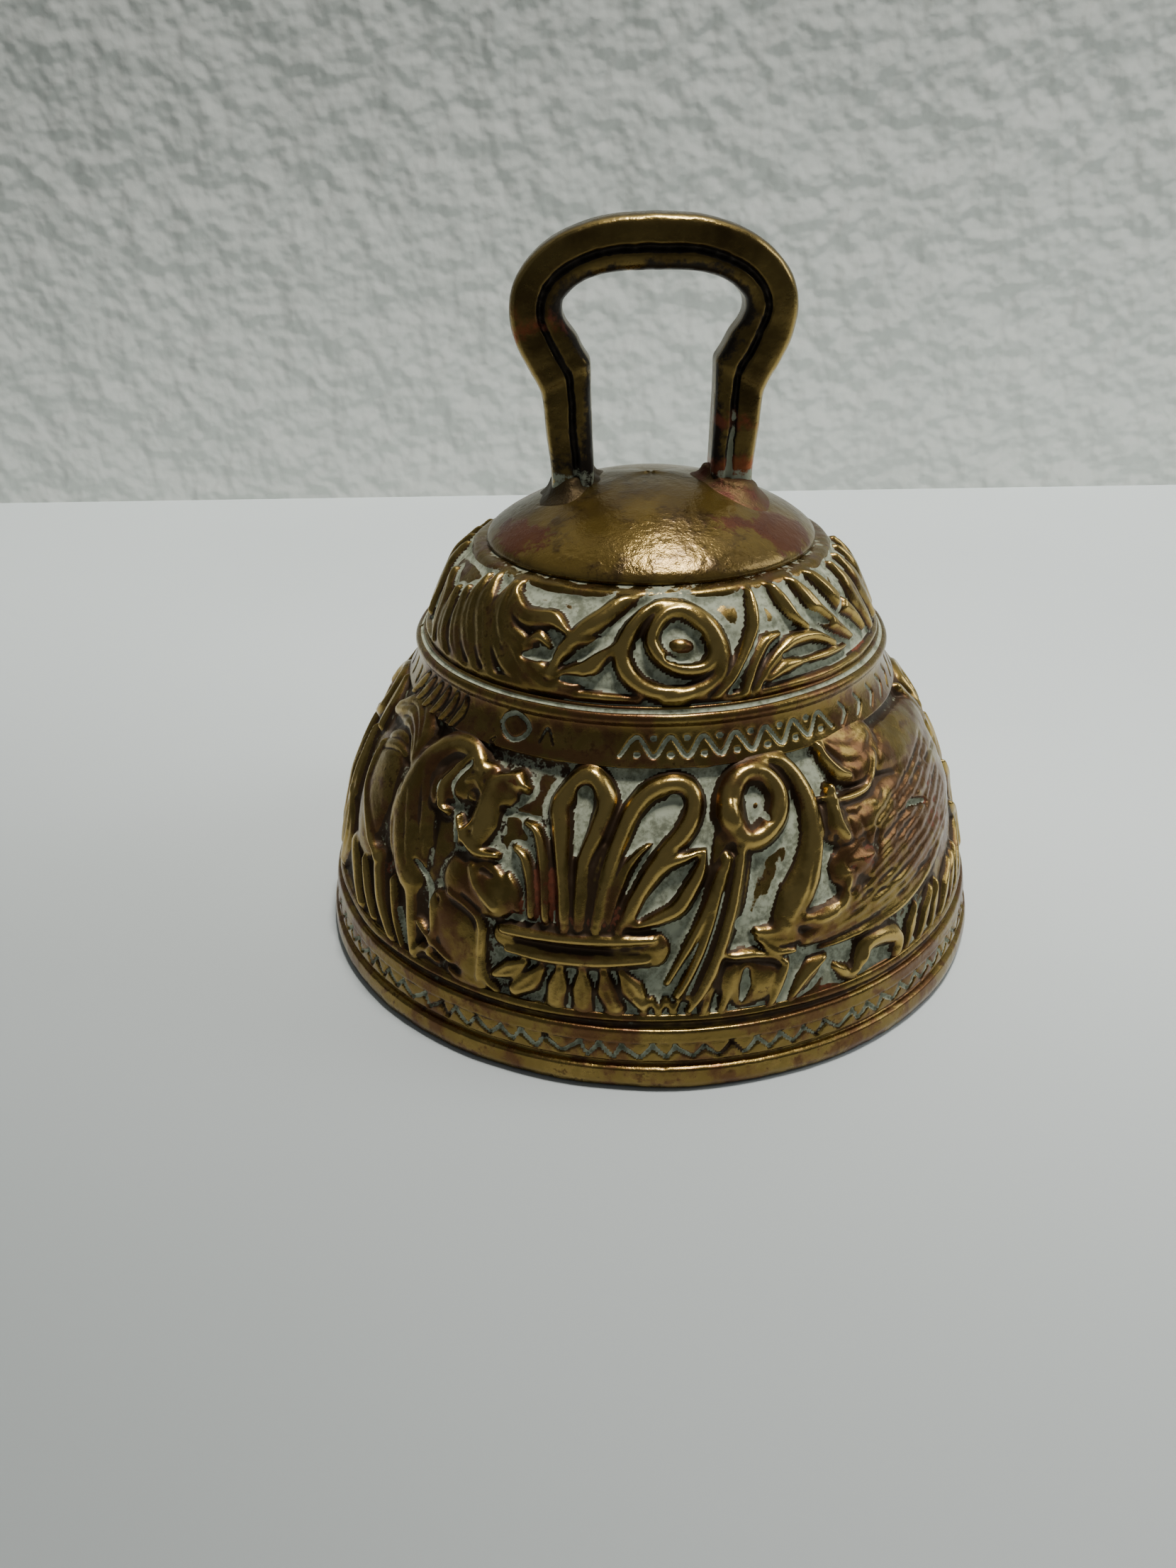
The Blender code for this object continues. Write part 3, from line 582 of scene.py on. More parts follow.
def chase_waist(rows, columns):
    """The plain band with its punched ornament, and the ridge above it."""
    art = Relief(WAIST, rows, columns, ground=0.0, seed=SEEDS["waist"])
    art.height += art.grain(1.8, 0.03)
    ring = [(-36.6, 33.2), (-35.3, 34), (-33, 34.4), (-30.7, 34), (-29.4, 33.2), (-30.7, 32.3), (-33, 31.9)]
    art.cut_line(ring + [(-35.3, 32.3)], (.32,), .34, pale=.65, closed=True)
    art.cut_line([(-37.4, 31.6), (-38.2, 31.1), (-37.2, 30.9)], (.2, .35, .2), .25, pale=.4)
    art.cut_line([(-26.6, 32.2), (-25, 33.6), (-23.4, 32.2)], (.2, .24, .2), .22, pale=.4)
    vine = [(-9 + 3.5 * index, 31.9 + 1.75 * (index % 2)) for index in range(15)]
    art.cut_line(vine, (.22, .28, .28, .28, .22), .36, pale=1)
    for angle, level in vine[1:-1]:
        dot = level - 1.6 if level > 33 else level + 1.65
        art.cut_line([(angle - .25, dot), (angle + .25, dot)], (.3, .3), .34, pale=1)
    for index in range(7):
        angle = 43 + 6.2 * index
        art.cut_line([(angle, 31.6), (angle + 2.2, 32.7), (angle + .4, 33.8)], (.14, .3, .14), .3, pale=.9)
    for index in range(5):
        angle = -86 + 6 * index
        art.cut_line([(angle, 31.8), (angle + 1.2, 33.6)], (.24, .26), .28, pale=.8)
    for index in range(6):
        art.ridge([(-72 + 4.2 * index, 31), (-68.5 + 4 * index, 33), (-66 + 3.6 * index, 34.2)], (.3, .5, .15), .3,
                  groove=.16)
    art.cut_line([(-92, 36.15), (0, 36.15), (92, 36.15)], (.28,), .22, pale=1)
    art.spots(art.copper, (((-25, 31.5), (11, .5), 1.1), ((-60, 33), (9, 1.4), .5), ((60, 33), (9, 1.2), .4)))
    return art.finish(0.08)


def chase_shoulder(rows, columns):
    """The scrolling stems, leaves and the round flower under the crown."""
    art = Relief(SHOULDER, rows, columns, ground=-0.7, seed=SEEDS["shoulder"])
    art.height += art.grain(2.0, 0.07)
    art.fatten, art.stretch = 1.55, 1.45
    art.pale += 0.75 + 0.5 * soft_step(art.level, 45.4, 46.1)[:, None]
    # a band of stem along the bottom
    art.ridge([(-92, 37), (-60, 37.1), (-26, 37.2), (-5, 37.2)], (.3, .35, .5, .3), .8)
    art.ridge([(8, 37.1), (40, 37), (88, 37)], (.3, .45, .3), .75)
    for line, widths in (
        ([(-46, 44.6), (-45, 42.5), (-42, 40.6), (-37.5, 38.7), (-31, 37.5)], (.3, .85, .95, .7, .2)),
        ([(-54, 44.5), (-49.5, 41.5), (-46, 39), (-41.5, 37.2)], (.3, .95, .9, .25)),
        ([(-57.5, 44.2), (-56.5, 41.5), (-52, 39), (-47, 37.2)], (.3, .9, .85, .2)),
        ([(-62.5, 43.4), (-61, 40.5), (-58, 38.6), (-52, 37)], (.3, .9, .8, .2)),
        ([(-68, 43), (-68, 40), (-66, 38.4), (-60, 37.2)], (.3, .9, .8, .2)),
        ([(-78, 43.5), (-74, 41), (-72, 38.6), (-70, 37.2)], (.3, .9, .8, .2)),
    ):
        art.ridge(line, [width * 1.25 for width in widths], .85, groove=.08, crisp=.6)
        art.cut_line(line, (.05, .2, .2, .05), .2, pale=.35)
    art.ridge([(-10, 42.6), (-14.5, 41), (-19.5, 39.1), (-25.5, 38.2), (-31, 39), (-36, 40.8), (-40, 41.7),
               (-42.6, 42.8), (-44.6, 44.8)], (.4, .7, .95, 1.05, 1.1, 1.05, .95, .8, .4), 1.05, veins=2, cut=.4,
              crisp=.7)
    art.ridge([(-4.5, 45), (-15, 43.7), (-20, 42.8), (-23.5, 41.3), (-25.5, 39.8), (-26, 38.6)],
              (.35, .75, .85, .8, .6, .3), 1.1, crisp=.7)
    art.ridge([(-43, 44.1), (-38, 43.3), (-33, 43.2), (-28, 43.3), (-23.4, 42.7)], (.3, .8, .95, .8, .3), 1.05, veins=2)
    art.ridge([(-34.5, 41), (-31, 41.9), (-27.6, 41.2)], (.2, .6, .2), .95)
    art.ridge([(-22, 41.6), (-18, 42.1), (-13.6, 42.4)], (.2, .35, .2), .8)
    art.pocket([(-34, 40), (-30.5, 40.3), (-27, 40.2)], (.3, .8, .3))
    art.pocket([(-19.6, 40.6), (-15, 42), (-9.5, 43)], (.5, .75, .4))
    art.pocket([(-23, 38.6), (-17, 38.6), (-11.5, 39.4)], (.3, .6, .4))
    art.pocket([(-32, 44.1), (-26.5, 44.2), (-21.4, 43.9)], (.2, .42, .2))
    outer = [(-9.7, 41.3), (-7, 43.6), (-1, 44.8), (6, 44.8), (12, 43.5), (14.3, 41.2), (12.2, 38.9), (6, 37.7),
             (-1, 37.8), (-7, 39.1)]
    art.stretch = 0.35
    art.ridge(outer, (.74,), 1.15, closed=True)
    inner = [(-2.7, 42.8), (.4, 44.2), (6, 44.4), (11, 43.1), (12.4, 41.2), (9.4, 39.9), (3.6, 40), (-1, 41.2)]
    art.ridge(inner, (.62,), 1.25, closed=True)
    art.pocket([(-5.6, 42.2), (-4.4, 40.6), (0, 39.1), (5, 38.7)], (.4, .55, .5, .2))
    art.pocket([(1, 43.2), (5, 43.5), (9, 42.8)], (.35, .4, .3))
    art.pocket([(1, 40.9), (5, 40.6), (8.6, 40.8)], (.25, .3, .25))
    art.boss((4.4, 41.9), (1.6, .95), .75)
    art.ridge([(5.4, 37.6), (3.4, 36.9), (0, 37)], (.5, .6, .3), 1.0)
    art.stretch = 1.45
    art.ridge([(11.6, 37.2), (15, 38.4), (17.6, 39.6), (21, 41.4), (26.4, 44.8)], (.3, .6, .62, .6, .3), 1.1)
    art.ridge([(18.4, 37), (20.5, 38.9), (22.6, 40.2), (26, 41.5), (30.5, 41.9)], (.3, .55, .6, .55, .2), 1.05)
    art.cut_line([(15, 37.2), (18.6, 39.4), (23, 41.6), (26.6, 43.6)], (.2, .22, .22, .15), .2, pale=1)
    art.ridge([(21.4, 37.4), (25, 39.1), (30, 40.4), (34.6, 41), (41, 40.8), (47.4, 39.4)],
              (.3, .5, .55, .55, .5, .3), 1.05)
    art.ridge([(24.6, 38), (30, 38.9), (36, 38.9)], (.25, .7, .25), 1.1)
    art.ridge([(36, 38.9), (43, 38.8), (52, 38.6)], (.25, .4, .2), .85)
    art.pocket([(38.6, 37.9), (44, 37.9), (51, 37.6)], (.25, .5, .25))
    art.pocket([(30, 39.9), (35, 39.9), (40, 39.8)], (.2, .35, .2))
    art.ridge([(32.6, 44.8), (36, 43), (39.4, 41.8)], (.3, .7, .3), 1.1)
    art.ridge([(41, 44.8), (46, 42.6), (51, 40.6), (56, 39)], (.3, .8, .7, .2), 1.05, veins=2)
    art.ridge([(49, 45), (53, 43.6), (60, 41), (64, 38.8)], (.3, .8, .7, .2), 1.05, veins=2)
    art.pocket([(41.6, 43), (44.6, 42.2), (47.6, 41.4)], (.3, .6, .3))
    art.pocket([(28.6, 44.2), (31.5, 43.3), (34.6, 42.5)], (.35, .6, .3))
    art.pocket([(54.4, 41.6), (56.2, 42.4), (58, 43.2)], (.2, .4, .2))
    for index in range(4):
        angle = 64 + 8.5 * index
        leaf = [(angle, 44.2), (angle + 3, 41.4), (angle + 5.4, 38.2)]
        art.ridge(leaf, (.4, 1.15, .4), .85, groove=.08, crisp=.6)
        art.cut_line(leaf, (.05, .2, .05), .2, pale=.35)
    edge = soft_step(art.level, 37.2, 36.4)[:, None]
    art.settle(edge, 0.3)
    lip = soft_step(art.level, 45.5, 46.05)[:, None]
    art.settle(lip, 0.15)
    art.pale += 0.7 * lip
    art.spots(art.copper, (
        ((24, 40.6), (5, 1.6), .55), ((52, 40), (10, 3), .6), ((60, 38), (7, 1.2), .8), ((-56, 39.6), (9, 1.6), .45),
        ((-37, 44), (6, .8), .5), ((-22, 38), (7, .6), .4),
    ))
    art.height += art.grain(1.2, 0.03) + art.grain(0.45, 0.012)
    return art.finish(0.19)


def chase_rim(rows, columns, teeth):
    """The turned mouldings of the mouth, with a zigzag cut by hand."""
    art = Relief(RIM_MOULDINGS[2:], rows, columns, ground=0.0, seed=SEEDS["rim"])
    art.height += art.grain(3.0, 0.035)
    pitch = 180.0 / teeth
    sway = art.chance.uniform(-.24, .24, (teeth, 3))
    for index in range(teeth):
        low = -90 + pitch * index
        peak = (low + pitch * (.5 + sway[index, 0]), 5.05 + sway[index, 1] * .6)
        foot = (low, 3.7 + sway[index, 2] * .5)
        after = (low + pitch, 3.7 + sway[(index + 1) % teeth, 2] * .5)
        held = .35 + .65 * art.chance.random()
        art.cut_line([foot, peak], (.24, .31), .3, pale=held)
        art.cut_line([peak, after], (.31, .24), .3, pale=held)
        art.spots(art.pale, [((low + pitch * .9, 4.4), (pitch * .6, .8), .95 * art.chance.random() ** 2)])
    for level, width, depth, pale in ((3.0, .42, .12, .25), (5.35, .16, .14, .3), (7.15, .42, .15, .3)):
        art.cut_line([(-92, level), (0, level), (92, level)], (width,), depth, pale=pale)
    art.pale += .8 * soft_step(art.level, 7.6, 8.1)[:, None] * (art.grain(2.2, .5) + .5)
    art.spots(art.copper, [((angle, 6.2), (size, 1.6), .5)
                           for angle, size in ((22, 12), (48, 8), (-58, 10), (-20, 6), (70, 9))])
    for _ in range(70):
        place = (art.chance.uniform(-90, 90), art.chance.uniform(.6, 6.6))
        art.boss(place, (art.chance.uniform(.15, .5), art.chance.uniform(.12, .3)), -art.chance.uniform(.03, .1))
    art.height += art.grain(.5, .01)
    return art.finish(0.07)


def planish_crown(rows, columns):
    """The polished crown: gently uneven, with file marks near its lip."""
    art = Relief(CROWN, rows, columns, ground=0.0, seed=SEEDS["crown"])
    art.height += art.grain(5.0, 0.075) + art.grain(1.6, 0.022)
    for _ in range(46):
        angle = art.chance.uniform(-90, 90)
        level = art.chance.uniform(47.2, 51.5)
        art.boss((angle, level), (art.chance.uniform(.3, 1.1), art.chance.uniform(.12, .35)),
                 -art.chance.uniform(.02, .07), art.chance.uniform(-30, 30))
    for index in range(9):
        angle = -1 + 1.7 * index + art.chance.uniform(-.4, .4)
        art.cut_line([(angle, 48.5), (angle + .6, 49.1)], (.14, .1), .07, pale=.15)
        art.cut_line([(angle + 3, 47.7), (angle + 3.2, 48.2)], (.12, .1), .05)
    art.spots(art.copper, (((-63, 48.1), (22, 1.7), .95), ((60, 48.6), (17, 2.0), 1.1), ((33, 50.2), (12, .9), .55)))
    art.spots(art.pale, [((60, 47.6), (12, 1), .25)])
    return art.finish(0.1)


# ---------------------------------------------------------------------------
# Meshes
# ---------------------------------------------------------------------------
def made_object(name, work, finish):
    """Turns a finished bmesh into an object of the scene."""
    mesh = bpy.data.meshes.new(name)
    work.to_mesh(mesh)
    work.free()
    mesh.materials.append(finish)
    mesh.shade_smooth()
    thing = bpy.data.objects.new(name, mesh)
    bpy.context.scene.collection.objects.link(thing)
    return thing


def new_piece(name, work, finish, body, replaced=()):
    """Turns a finished bmesh into a shown piece that rides on a body."""
    piece = made_object(name, work, finish)
    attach(piece, body)
    if replaced:
        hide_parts(*replaced)
    return piece


def store(mesh, name, values):
    """Keeps one number per vertex for the finishes to read."""
    attribute = mesh.attributes.new(name, "FLOAT", "POINT")
    attribute.data.foreach_set("value", np.asarray(values, np.float32))


def positions(mesh):
    """Where every vertex is, in metres."""
    flat = np.empty(len(mesh.vertices) * 3, np.float32)
    mesh.vertices.foreach_get("co", flat)
    return flat.reshape(-1, 3).astype(float)


def move_to(mesh, place):
    mesh.vertices.foreach_set("co", place.astype(np.float32).ravel())
    mesh.update()


def front_outline(work, points):
    """Joins (radius, height) points, in millimetres, into an open line at the front."""
    made = [work.verts.new((0.0, -radius * MM, level * MM)) for radius, level in points]
    return made, [work.edges.new(pair) for pair in zip(made, made[1:])]


def spin_round(work, outline, turn, steps, copies=3):
    """Spins an outline about Z. One eighth is spun, and then copied round three times."""
    share = 2 ** copies
    bmesh.ops.spin(work, geom=outline, cent=(0, 0, 0), axis=(0, 0, 1), dvec=(0, 0, 0), angle=turn / share,
                   steps=steps // share, use_merge=False, use_normal_flip=False, use_duplicate=False)
    for index in range(copies):
        made = work.verts[:] + work.edges[:] + work.faces[:]
        copy = bmesh.ops.duplicate(work, geom=made)["geom"]
        corners = [item for item in copy if isinstance(item, bmesh.types.BMVert)]
        part = turn / share * 2**index
        bmesh.ops.rotate(work, verts=corners, cent=(0, 0, 0), matrix=Matrix.Rotation(part, 3, "Z"))
    bmesh.ops.remove_doubles(work, verts=work.verts, dist=3e-7)


def turned_relief(name, art, back, steps, finish, half=None):
    """A closed ring (or half ring) whose outside is a relief's skin and whose back is plain.

    The outline stands at the front, or at one side for half a ring, and is spun round.
    """
    outline = [tuple(point) for point in art.line] + list(back)
    on_axis = outline[0][0] < 1e-6 or art.line[-1][0] < 1e-6
    work = bmesh.new()
    row_layer = work.verts.layers.int.new("row")
    made, edges = front_outline(work, outline)
    for index in range(art.rows):
        made[index][row_layer] = index + 1
    if not on_axis:
        edges.append(work.edges.new((made[-1], made[0])))
    turn = math.tau
    if half is not None:
        bmesh.ops.rotate(work, verts=made, cent=(0, 0, 0), matrix=Matrix.Rotation(math.radians(half), 3, "Z"))
        turn = math.pi
    spin_round(work, made + edges, turn, steps)
    if half is not None:
        bmesh.ops.holes_fill(work, edges=[e for e in work.edges if e.is_boundary], sides=0)
    bmesh.ops.recalc_face_normals(work, faces=work.faces)
    mesh = new_piece(name, work, finish, "bell").data
    rows = np.empty(len(mesh.vertices), np.int32)
    mesh.attributes["row"].data.foreach_get("value", rows)
    mesh.attributes.remove(mesh.attributes["row"])
    place = positions(mesh)
    round_angle = np.degrees(np.arctan2(place[:, 0], -place[:, 1]))
    column = np.round((round_angle + 90) / art.column).astype(int) % art.columns
    skin = rows > 0
    row = np.clip(rows - 1, 0, art.rows - 1)
    shift = art.height[row, column] * skin
    axis_gap = np.hypot(place[:, 0], place[:, 1])
    shift = np.where(axis_gap < 1e-6, art.height[-1].mean() * skin, shift)
    outward = place[:, :2] / np.maximum(axis_gap, 1e-9)[:, None]
    place[:, :2] += outward * (art.normal[row, 0] * shift * MM)[:, None]
    place[:, 2] += art.normal[row, 1] * shift * MM
    move_to(mesh, place)
    store(mesh, "crest", art.crest[row, column] * skin)
    store(mesh, "hollow", np.where(skin, art.hollow[row, column], 1))
    store(mesh, "pale", art.pale[row, column] * skin)
    store(mesh, "copper", np.clip(art.copper[row, column], 0, 1.2) * skin)


def drawn_bar(name, centres, across, deep, square, shape, sides, finish, body, replaced=(),
              closed=False, spaced=2):
    """A bar drawn along a line. Each station has its own half sizes across and deep.

    A flat sheet is rolled up: its rows become stations, and its columns go round.
    square is 2 for a round bar and more for a squarer one, spaced spreads the columns
    evenly over a squarer one, and shape gives the dent or swelling at each point.
    """
    count = len(centres)
    spans = count if closed else count - 1
    work = bmesh.new()
    bmesh.ops.create_grid(work, x_segments=spans, y_segments=sides, size=0.5)
    station = np.array([round((v.co.x + 0.5) * spans) for v in work.verts]) % count
    angle = np.array([(v.co.y + 0.5) * math.tau for v in work.verts])
    angle = np.where(angle > math.tau - 1e-4, 0.0, angle)
    if spaced > 2:
        fine = np.linspace(0, math.tau, 2881)
        edge = [np.sign(f(fine)) * np.abs(f(fine)) ** (2 / spaced) for f in (np.cos, np.sin)]
        run = np.concatenate([[0], np.cumsum(np.hypot(*np.diff(edge, axis=1)))])
        angle = np.interp(angle / math.tau * run[-1], run, fine)
    centres = np.asarray(centres, float)
    if closed:
        ahead = np.roll(centres, -1, 0) - np.roll(centres, 1, 0)
    else:
        ahead = np.gradient(centres, axis=0)
    ahead /= np.linalg.norm(ahead, axis=1)[:, None]
    across = np.asarray(across, float)
    side = across / np.linalg.norm(across, axis=1)[:, None]
    lift = np.cross(side, ahead)
    half_across = np.linalg.norm(across, axis=1)
    power = 2.0 / np.asarray(square, float)[station]
    u = np.sign(np.cos(angle)) * np.abs(np.cos(angle)) ** power * half_across[station]
    v = np.sign(np.sin(angle)) * np.abs(np.sin(angle)) ** power * np.asarray(deep, float)[station]
    dent = shape(station, angle, u, v)
    length = np.maximum(np.hypot(u, v), 1e-6)
    u, v = u * (1 + dent / length), v * (1 + dent / length)
    place = centres[station] + side[station] * u[:, None] + lift[station] * v[:, None]
    station_layer = work.verts.layers.int.new("station")
    angle_layer = work.verts.layers.float.new("angle")
    dent_layer = work.verts.layers.float.new("dent")
    for index, corner in enumerate(work.verts):
        corner.co = place[index] * MM
        corner[station_layer], corner[angle_layer], corner[dent_layer] = int(station[index]), angle[index], dent[index]
    bmesh.ops.remove_doubles(work, verts=work.verts, dist=2e-7)
    if not closed:
        bmesh.ops.holes_fill(work, edges=[e for e in work.edges if e.is_boundary], sides=0)
    bmesh.ops.recalc_face_normals(work, faces=work.faces)
    work.verts.ensure_lookup_table()
    station = np.array([v[station_layer] for v in work.verts])
    angle = np.array([v[angle_layer] for v in work.verts])
    dent = np.array([v[dent_layer] for v in work.verts])
    piece = new_piece(name, work, finish, body, replaced)
    for layer in ("station", "angle", "dent"):
        piece.data.attributes.remove(piece.data.attributes[layer])
    return piece, station, angle, dent


# ---------------------------------------------------------------------------
# Finishes
# ---------------------------------------------------------------------------
class Amount:
    """A number that varies over a surface: arithmetic on it adds Math nodes."""

    def __init__(self, mix, socket):
        self.mix, self.socket = mix, socket

    def _join(self, operation, first, second):
        made = self.mix.node("ShaderNodeMath", {"operation": operation}, {0: first, 1: second})
        return Amount(self.mix, made.outputs[0])

    def __add__(self, other):
        return self._join("ADD", self, other)

    def __radd__(self, other):
        return self._join("ADD", other, self)

    def __sub__(self, other):
        return self._join("SUBTRACT", self, other)

    def __rsub__(self, other):
        return self._join("SUBTRACT", other, self)

    def __mul__(self, other):
        return self._join("MULTIPLY", self, other)

    def __rmul__(self, other):
        return self._join("MULTIPLY", other, self)

    def step(self, low, high):
        """0 below low and 1 above high, with a soft change between them."""
        ramp = self.mix.node("ShaderNodeMapRange", {"interpolation_type": "SMOOTHSTEP"},
                             {"Value": self, "From Min": low, "From Max": high})
        return Amount(self.mix, ramp.outputs[0])


class Finish:
    """One node material."""

    def __init__(self, name):
        self.material = bpy.data.materials.new(name)
        self.material.use_nodes = True
        self.tree = self.material.node_tree
        self.shader = self.tree.nodes["Principled BSDF"]
        self.place = self.node("ShaderNodeTexCoord", {}, {}).outputs["Object"]

    def node(self, kind, settings, inputs):
        """Any node: its type, its settings, and the values or links of its sockets."""
        made = self.tree.nodes.new(kind)
        for key, value in settings.items():
            setattr(made, key, value)
        for key, value in inputs.items():
            self.feed(made.inputs[key], value)
        return made

    def feed(self, socket, value):
        """Gives a socket a link or a plain value."""
        if isinstance(value, Amount):
            value = value.socket
        if isinstance(value, bpy.types.NodeSocket):
            self.tree.links.new(value, socket)
        elif isinstance(value, tuple) and len(value) == 3 and socket.type == "RGBA":
            socket.default_value = (*value, 1.0)
        else:
            socket.default_value = value

    def noise(self, size, detail=4.0, rough=0.55, warp=0.0, stretch=None):
        """Random clouds about one size in metres."""
        place = self.place
        if stretch:
            place = self.node("ShaderNodeMapping", {}, {"Vector": place, "Scale": stretch}).outputs[0]
        made = self.node("ShaderNodeTexNoise", {}, {
            "Vector": place, "Scale": 1 / size, "Detail": detail, "Roughness": rough, "Distortion": warp})
        return Amount(self, made.outputs[0])

    def axes(self):
        """The place along X, Y and Z, in metres."""
        parts = self.node("ShaderNodeSeparateXYZ", {}, {0: self.place})
        return [Amount(self, output) for output in parts.outputs]

    def painted(self, name):
        """A number that is kept in the mesh."""
        made = self.node("ShaderNodeAttribute", {"attribute_name": name}, {})
        return Amount(self, made.outputs["Fac"])

    def blend(self, share, first, second):
        """A colour between two."""
        made = self.node("ShaderNodeMix", {"data_type": "RGBA"}, {0: share, 6: first, 7: second})
        return made.outputs[2]

    def bump(self, height, distance, strength, under=None):
        """Small unevenness, laid over the one under it."""
        inputs = {"Height": height, "Distance": distance, "Strength": strength}
        if under is not None:
            inputs["Normal"] = under
        return self.node("ShaderNodeBump", {}, inputs).outputs[0]

    def set(self, **sockets):
        """Feeds the shader's sockets, with _ for a space, and gives the material."""
        for key, value in sockets.items():
            self.feed(self.shader.inputs[key.replace("_", " ")], value)
        return self.material


def chased_brass(look):
    """Old brass: rubbed bright on top, brown in the hollows, pale polish left in the ground."""
    mix = Finish("chased_brass")
    crest, hollow = mix.painted("crest"), mix.painted("hollow")
    pale, copper = mix.painted("pale"), mix.painted("copper")
    broad = mix.noise(0.009, 4)
    middle = mix.noise(0.0022, 5, 0.6)
    fine = mix.noise(0.0006, 4, 0.65)
    gold = mix.blend(middle.step(0.35, 0.7), tuple(look.brass_olive), tuple(look.brass_gold))
    gold = mix.blend(broad.step(0.42, 0.68), gold, (0.175, 0.104, 0.028))
    rubbed = (crest + (fine - 0.5) * 0.5 + (middle - 0.5) * 0.7).step(0.35, 1.0)
    gold = mix.blend(rubbed * 0.8, gold, (0.47, 0.325, 0.102))
    speck = (fine * 0.55 + middle * 0.6 - crest * 0.08).step(0.615, 0.70)
    gold = mix.blend(speck * 0.7, gold, (0.055, 0.032, 0.015))
    film = (broad * 0.6 + middle * 0.6 + copper * 0.16 - crest * 0.16).step(0.545, 0.68)
    gold = mix.blend(film * 0.8, gold, (0.115, 0.05, 0.022))
    brown = (hollow * 1.15 + (middle - 0.5) * 1.1 - crest * 0.8).step(0.28, 0.85)
    gold = mix.blend(brown, gold, tuple(look.patina))
    stain = (copper * (hollow * 0.55 + 0.5) + (middle - 0.5) * 1.7 + (fine - 0.5) * 0.9).step(0.56, 0.70)
    gold = mix.blend(stain * 0.8, gold, mix.blend(fine.step(0.4, 0.62), tuple(look.copper), (0.16, 0.05, 0.024)))
    bed = hollow.step(0.12, 0.75)
    held = (pale * (bed * 1.15 + 0.38) + (middle - 0.5) * 1.2 + (fine - 0.5) * 0.9 - crest * 1.6)
    residue = held.step(0.64, 0.80)
    flake = (fine * 0.5 + middle * 0.5).step(0.42, 0.62)
    colour = mix.blend(residue, gold, mix.blend(flake, tuple(look.residue), (0.17, 0.18, 0.118)))
    grain = mix.bump(fine, 0.00006, 0.5)
    relief = mix.bump(middle, 0.00016, 0.45, grain)
    return mix.set(
        Base_Color=colour,
        Metallic=1 - residue * 0.95 - brown * 0.25 - film * 0.12,
        Roughness=(0.27 + brown * 0.22 + residue * 0.5 + stain * 0.1 + (middle - 0.5) * 0.22 - rubbed * 0.06),
        Normal=relief,
    )


def polished_brass(look):
    """The crown: smooth, olive gold and cloudy, with red stains."""
    mix = Finish("polished_brass")
    hollow, pale, copper = mix.painted("hollow"), mix.painted("pale"), mix.painted("copper")
    broad = mix.noise(0.011, 5, 0.6, 0.6)
    middle = mix.noise(0.003, 5, 0.6)
    fine = mix.noise(0.0005, 4, 0.65)
    hair = mix.noise(0.0004, 3, 0.6, 0.0, (0.12, 1.0, 1.0))
    gold = mix.blend(broad.step(0.36, 0.66), (0.190, 0.124, 0.028), (0.112, 0.070, 0.017))
    gold = mix.blend(middle.step(0.50, 0.70) * 0.7, gold, (0.075, 0.044, 0.016))
    speck = (fine * 0.5 + middle * 0.6).step(0.60, 0.68)
    gold = mix.blend(speck * 0.6, gold, (0.06, 0.036, 0.012))
    stain = (copper + (middle - 0.5) * 1.5 + (fine - 0.5) * 0.6).step(0.52, 0.66)
    gold = mix.blend(stain * 0.85, gold, mix.blend(middle, (0.165, 0.042, 0.020), (0.085, 0.027, 0.016)))
    brown = (hollow * 1.2 + (fine - 0.5) * 0.9).step(0.55, 1.0)
    gold = mix.blend(brown, gold, tuple(look.patina))
    residue = (pale + (middle - 0.5) * 1.2 + (fine - 0.5)).step(0.55, 0.8)
    colour = mix.blend(residue, gold, tuple(look.residue))
    return mix.set(
        Base_Color=colour,
        Metallic=0.68 - residue * 0.6,
        Roughness=(0.19 + (broad - 0.5) * 0.2 - fine.step(0.54, 0.66) * 0.08 + (middle - 0.5) * 0.15 + brown * 0.2
                   + residue * 0.4 + stain * 0.08),
        Normal=mix.bump(hair, 0.00003, 0.4, mix.bump(fine, 0.00007, 0.6, mix.bump(middle, 0.00028, 0.55))),
    )


def handle_brass(look):
    """The loop: dark olive faces, a black hollow line and a lighter worn edge."""
    mix = Finish("handle_brass")
    hollow, crest = mix.painted("hollow"), mix.painted("crest")
    pale, copper = mix.painted("pale"), mix.painted("copper")
    broad = mix.noise(0.006, 4)
    middle = mix.noise(0.0018, 5, 0.6)
    fine = mix.noise(0.0005, 4, 0.65)
    gold = mix.blend(broad.step(0.35, 0.68), (0.155, 0.105, 0.033), (0.075, 0.048, 0.017))
    gold = mix.blend((crest + (middle - 0.5) * 0.6).step(0.35, 0.95), gold, (0.27, 0.19, 0.064))
    grime = (hollow * 1.5 + (middle - 0.5) * 0.9 + (broad - 0.5) * 0.7 + (fine - 0.5) * 0.5).step(0.36, 0.62)
    gold = mix.blend(grime, gold, (0.022, 0.015, 0.009))
    stain = (copper + (middle - 0.5) * 1.3).step(0.5, 0.8)
    gold = mix.blend(stain * 0.8, gold, tuple(look.copper))
    residue = (pale + (middle - 0.5) * 1.1 + (fine - 0.5) * 0.8).step(0.6, 0.82)
    colour = mix.blend(residue, gold, tuple(look.residue))
    return mix.set(
        Base_Color=colour,
        Metallic=1 - residue * 0.9 - grime * 0.35,
        Roughness=0.30 + grime * 0.2 + residue * 0.45 + (middle - 0.5) * 0.2 - crest * 0.06,
        Normal=mix.bump(fine, 0.00005, 0.5, mix.bump(middle, 0.00016, 0.5)),
    )


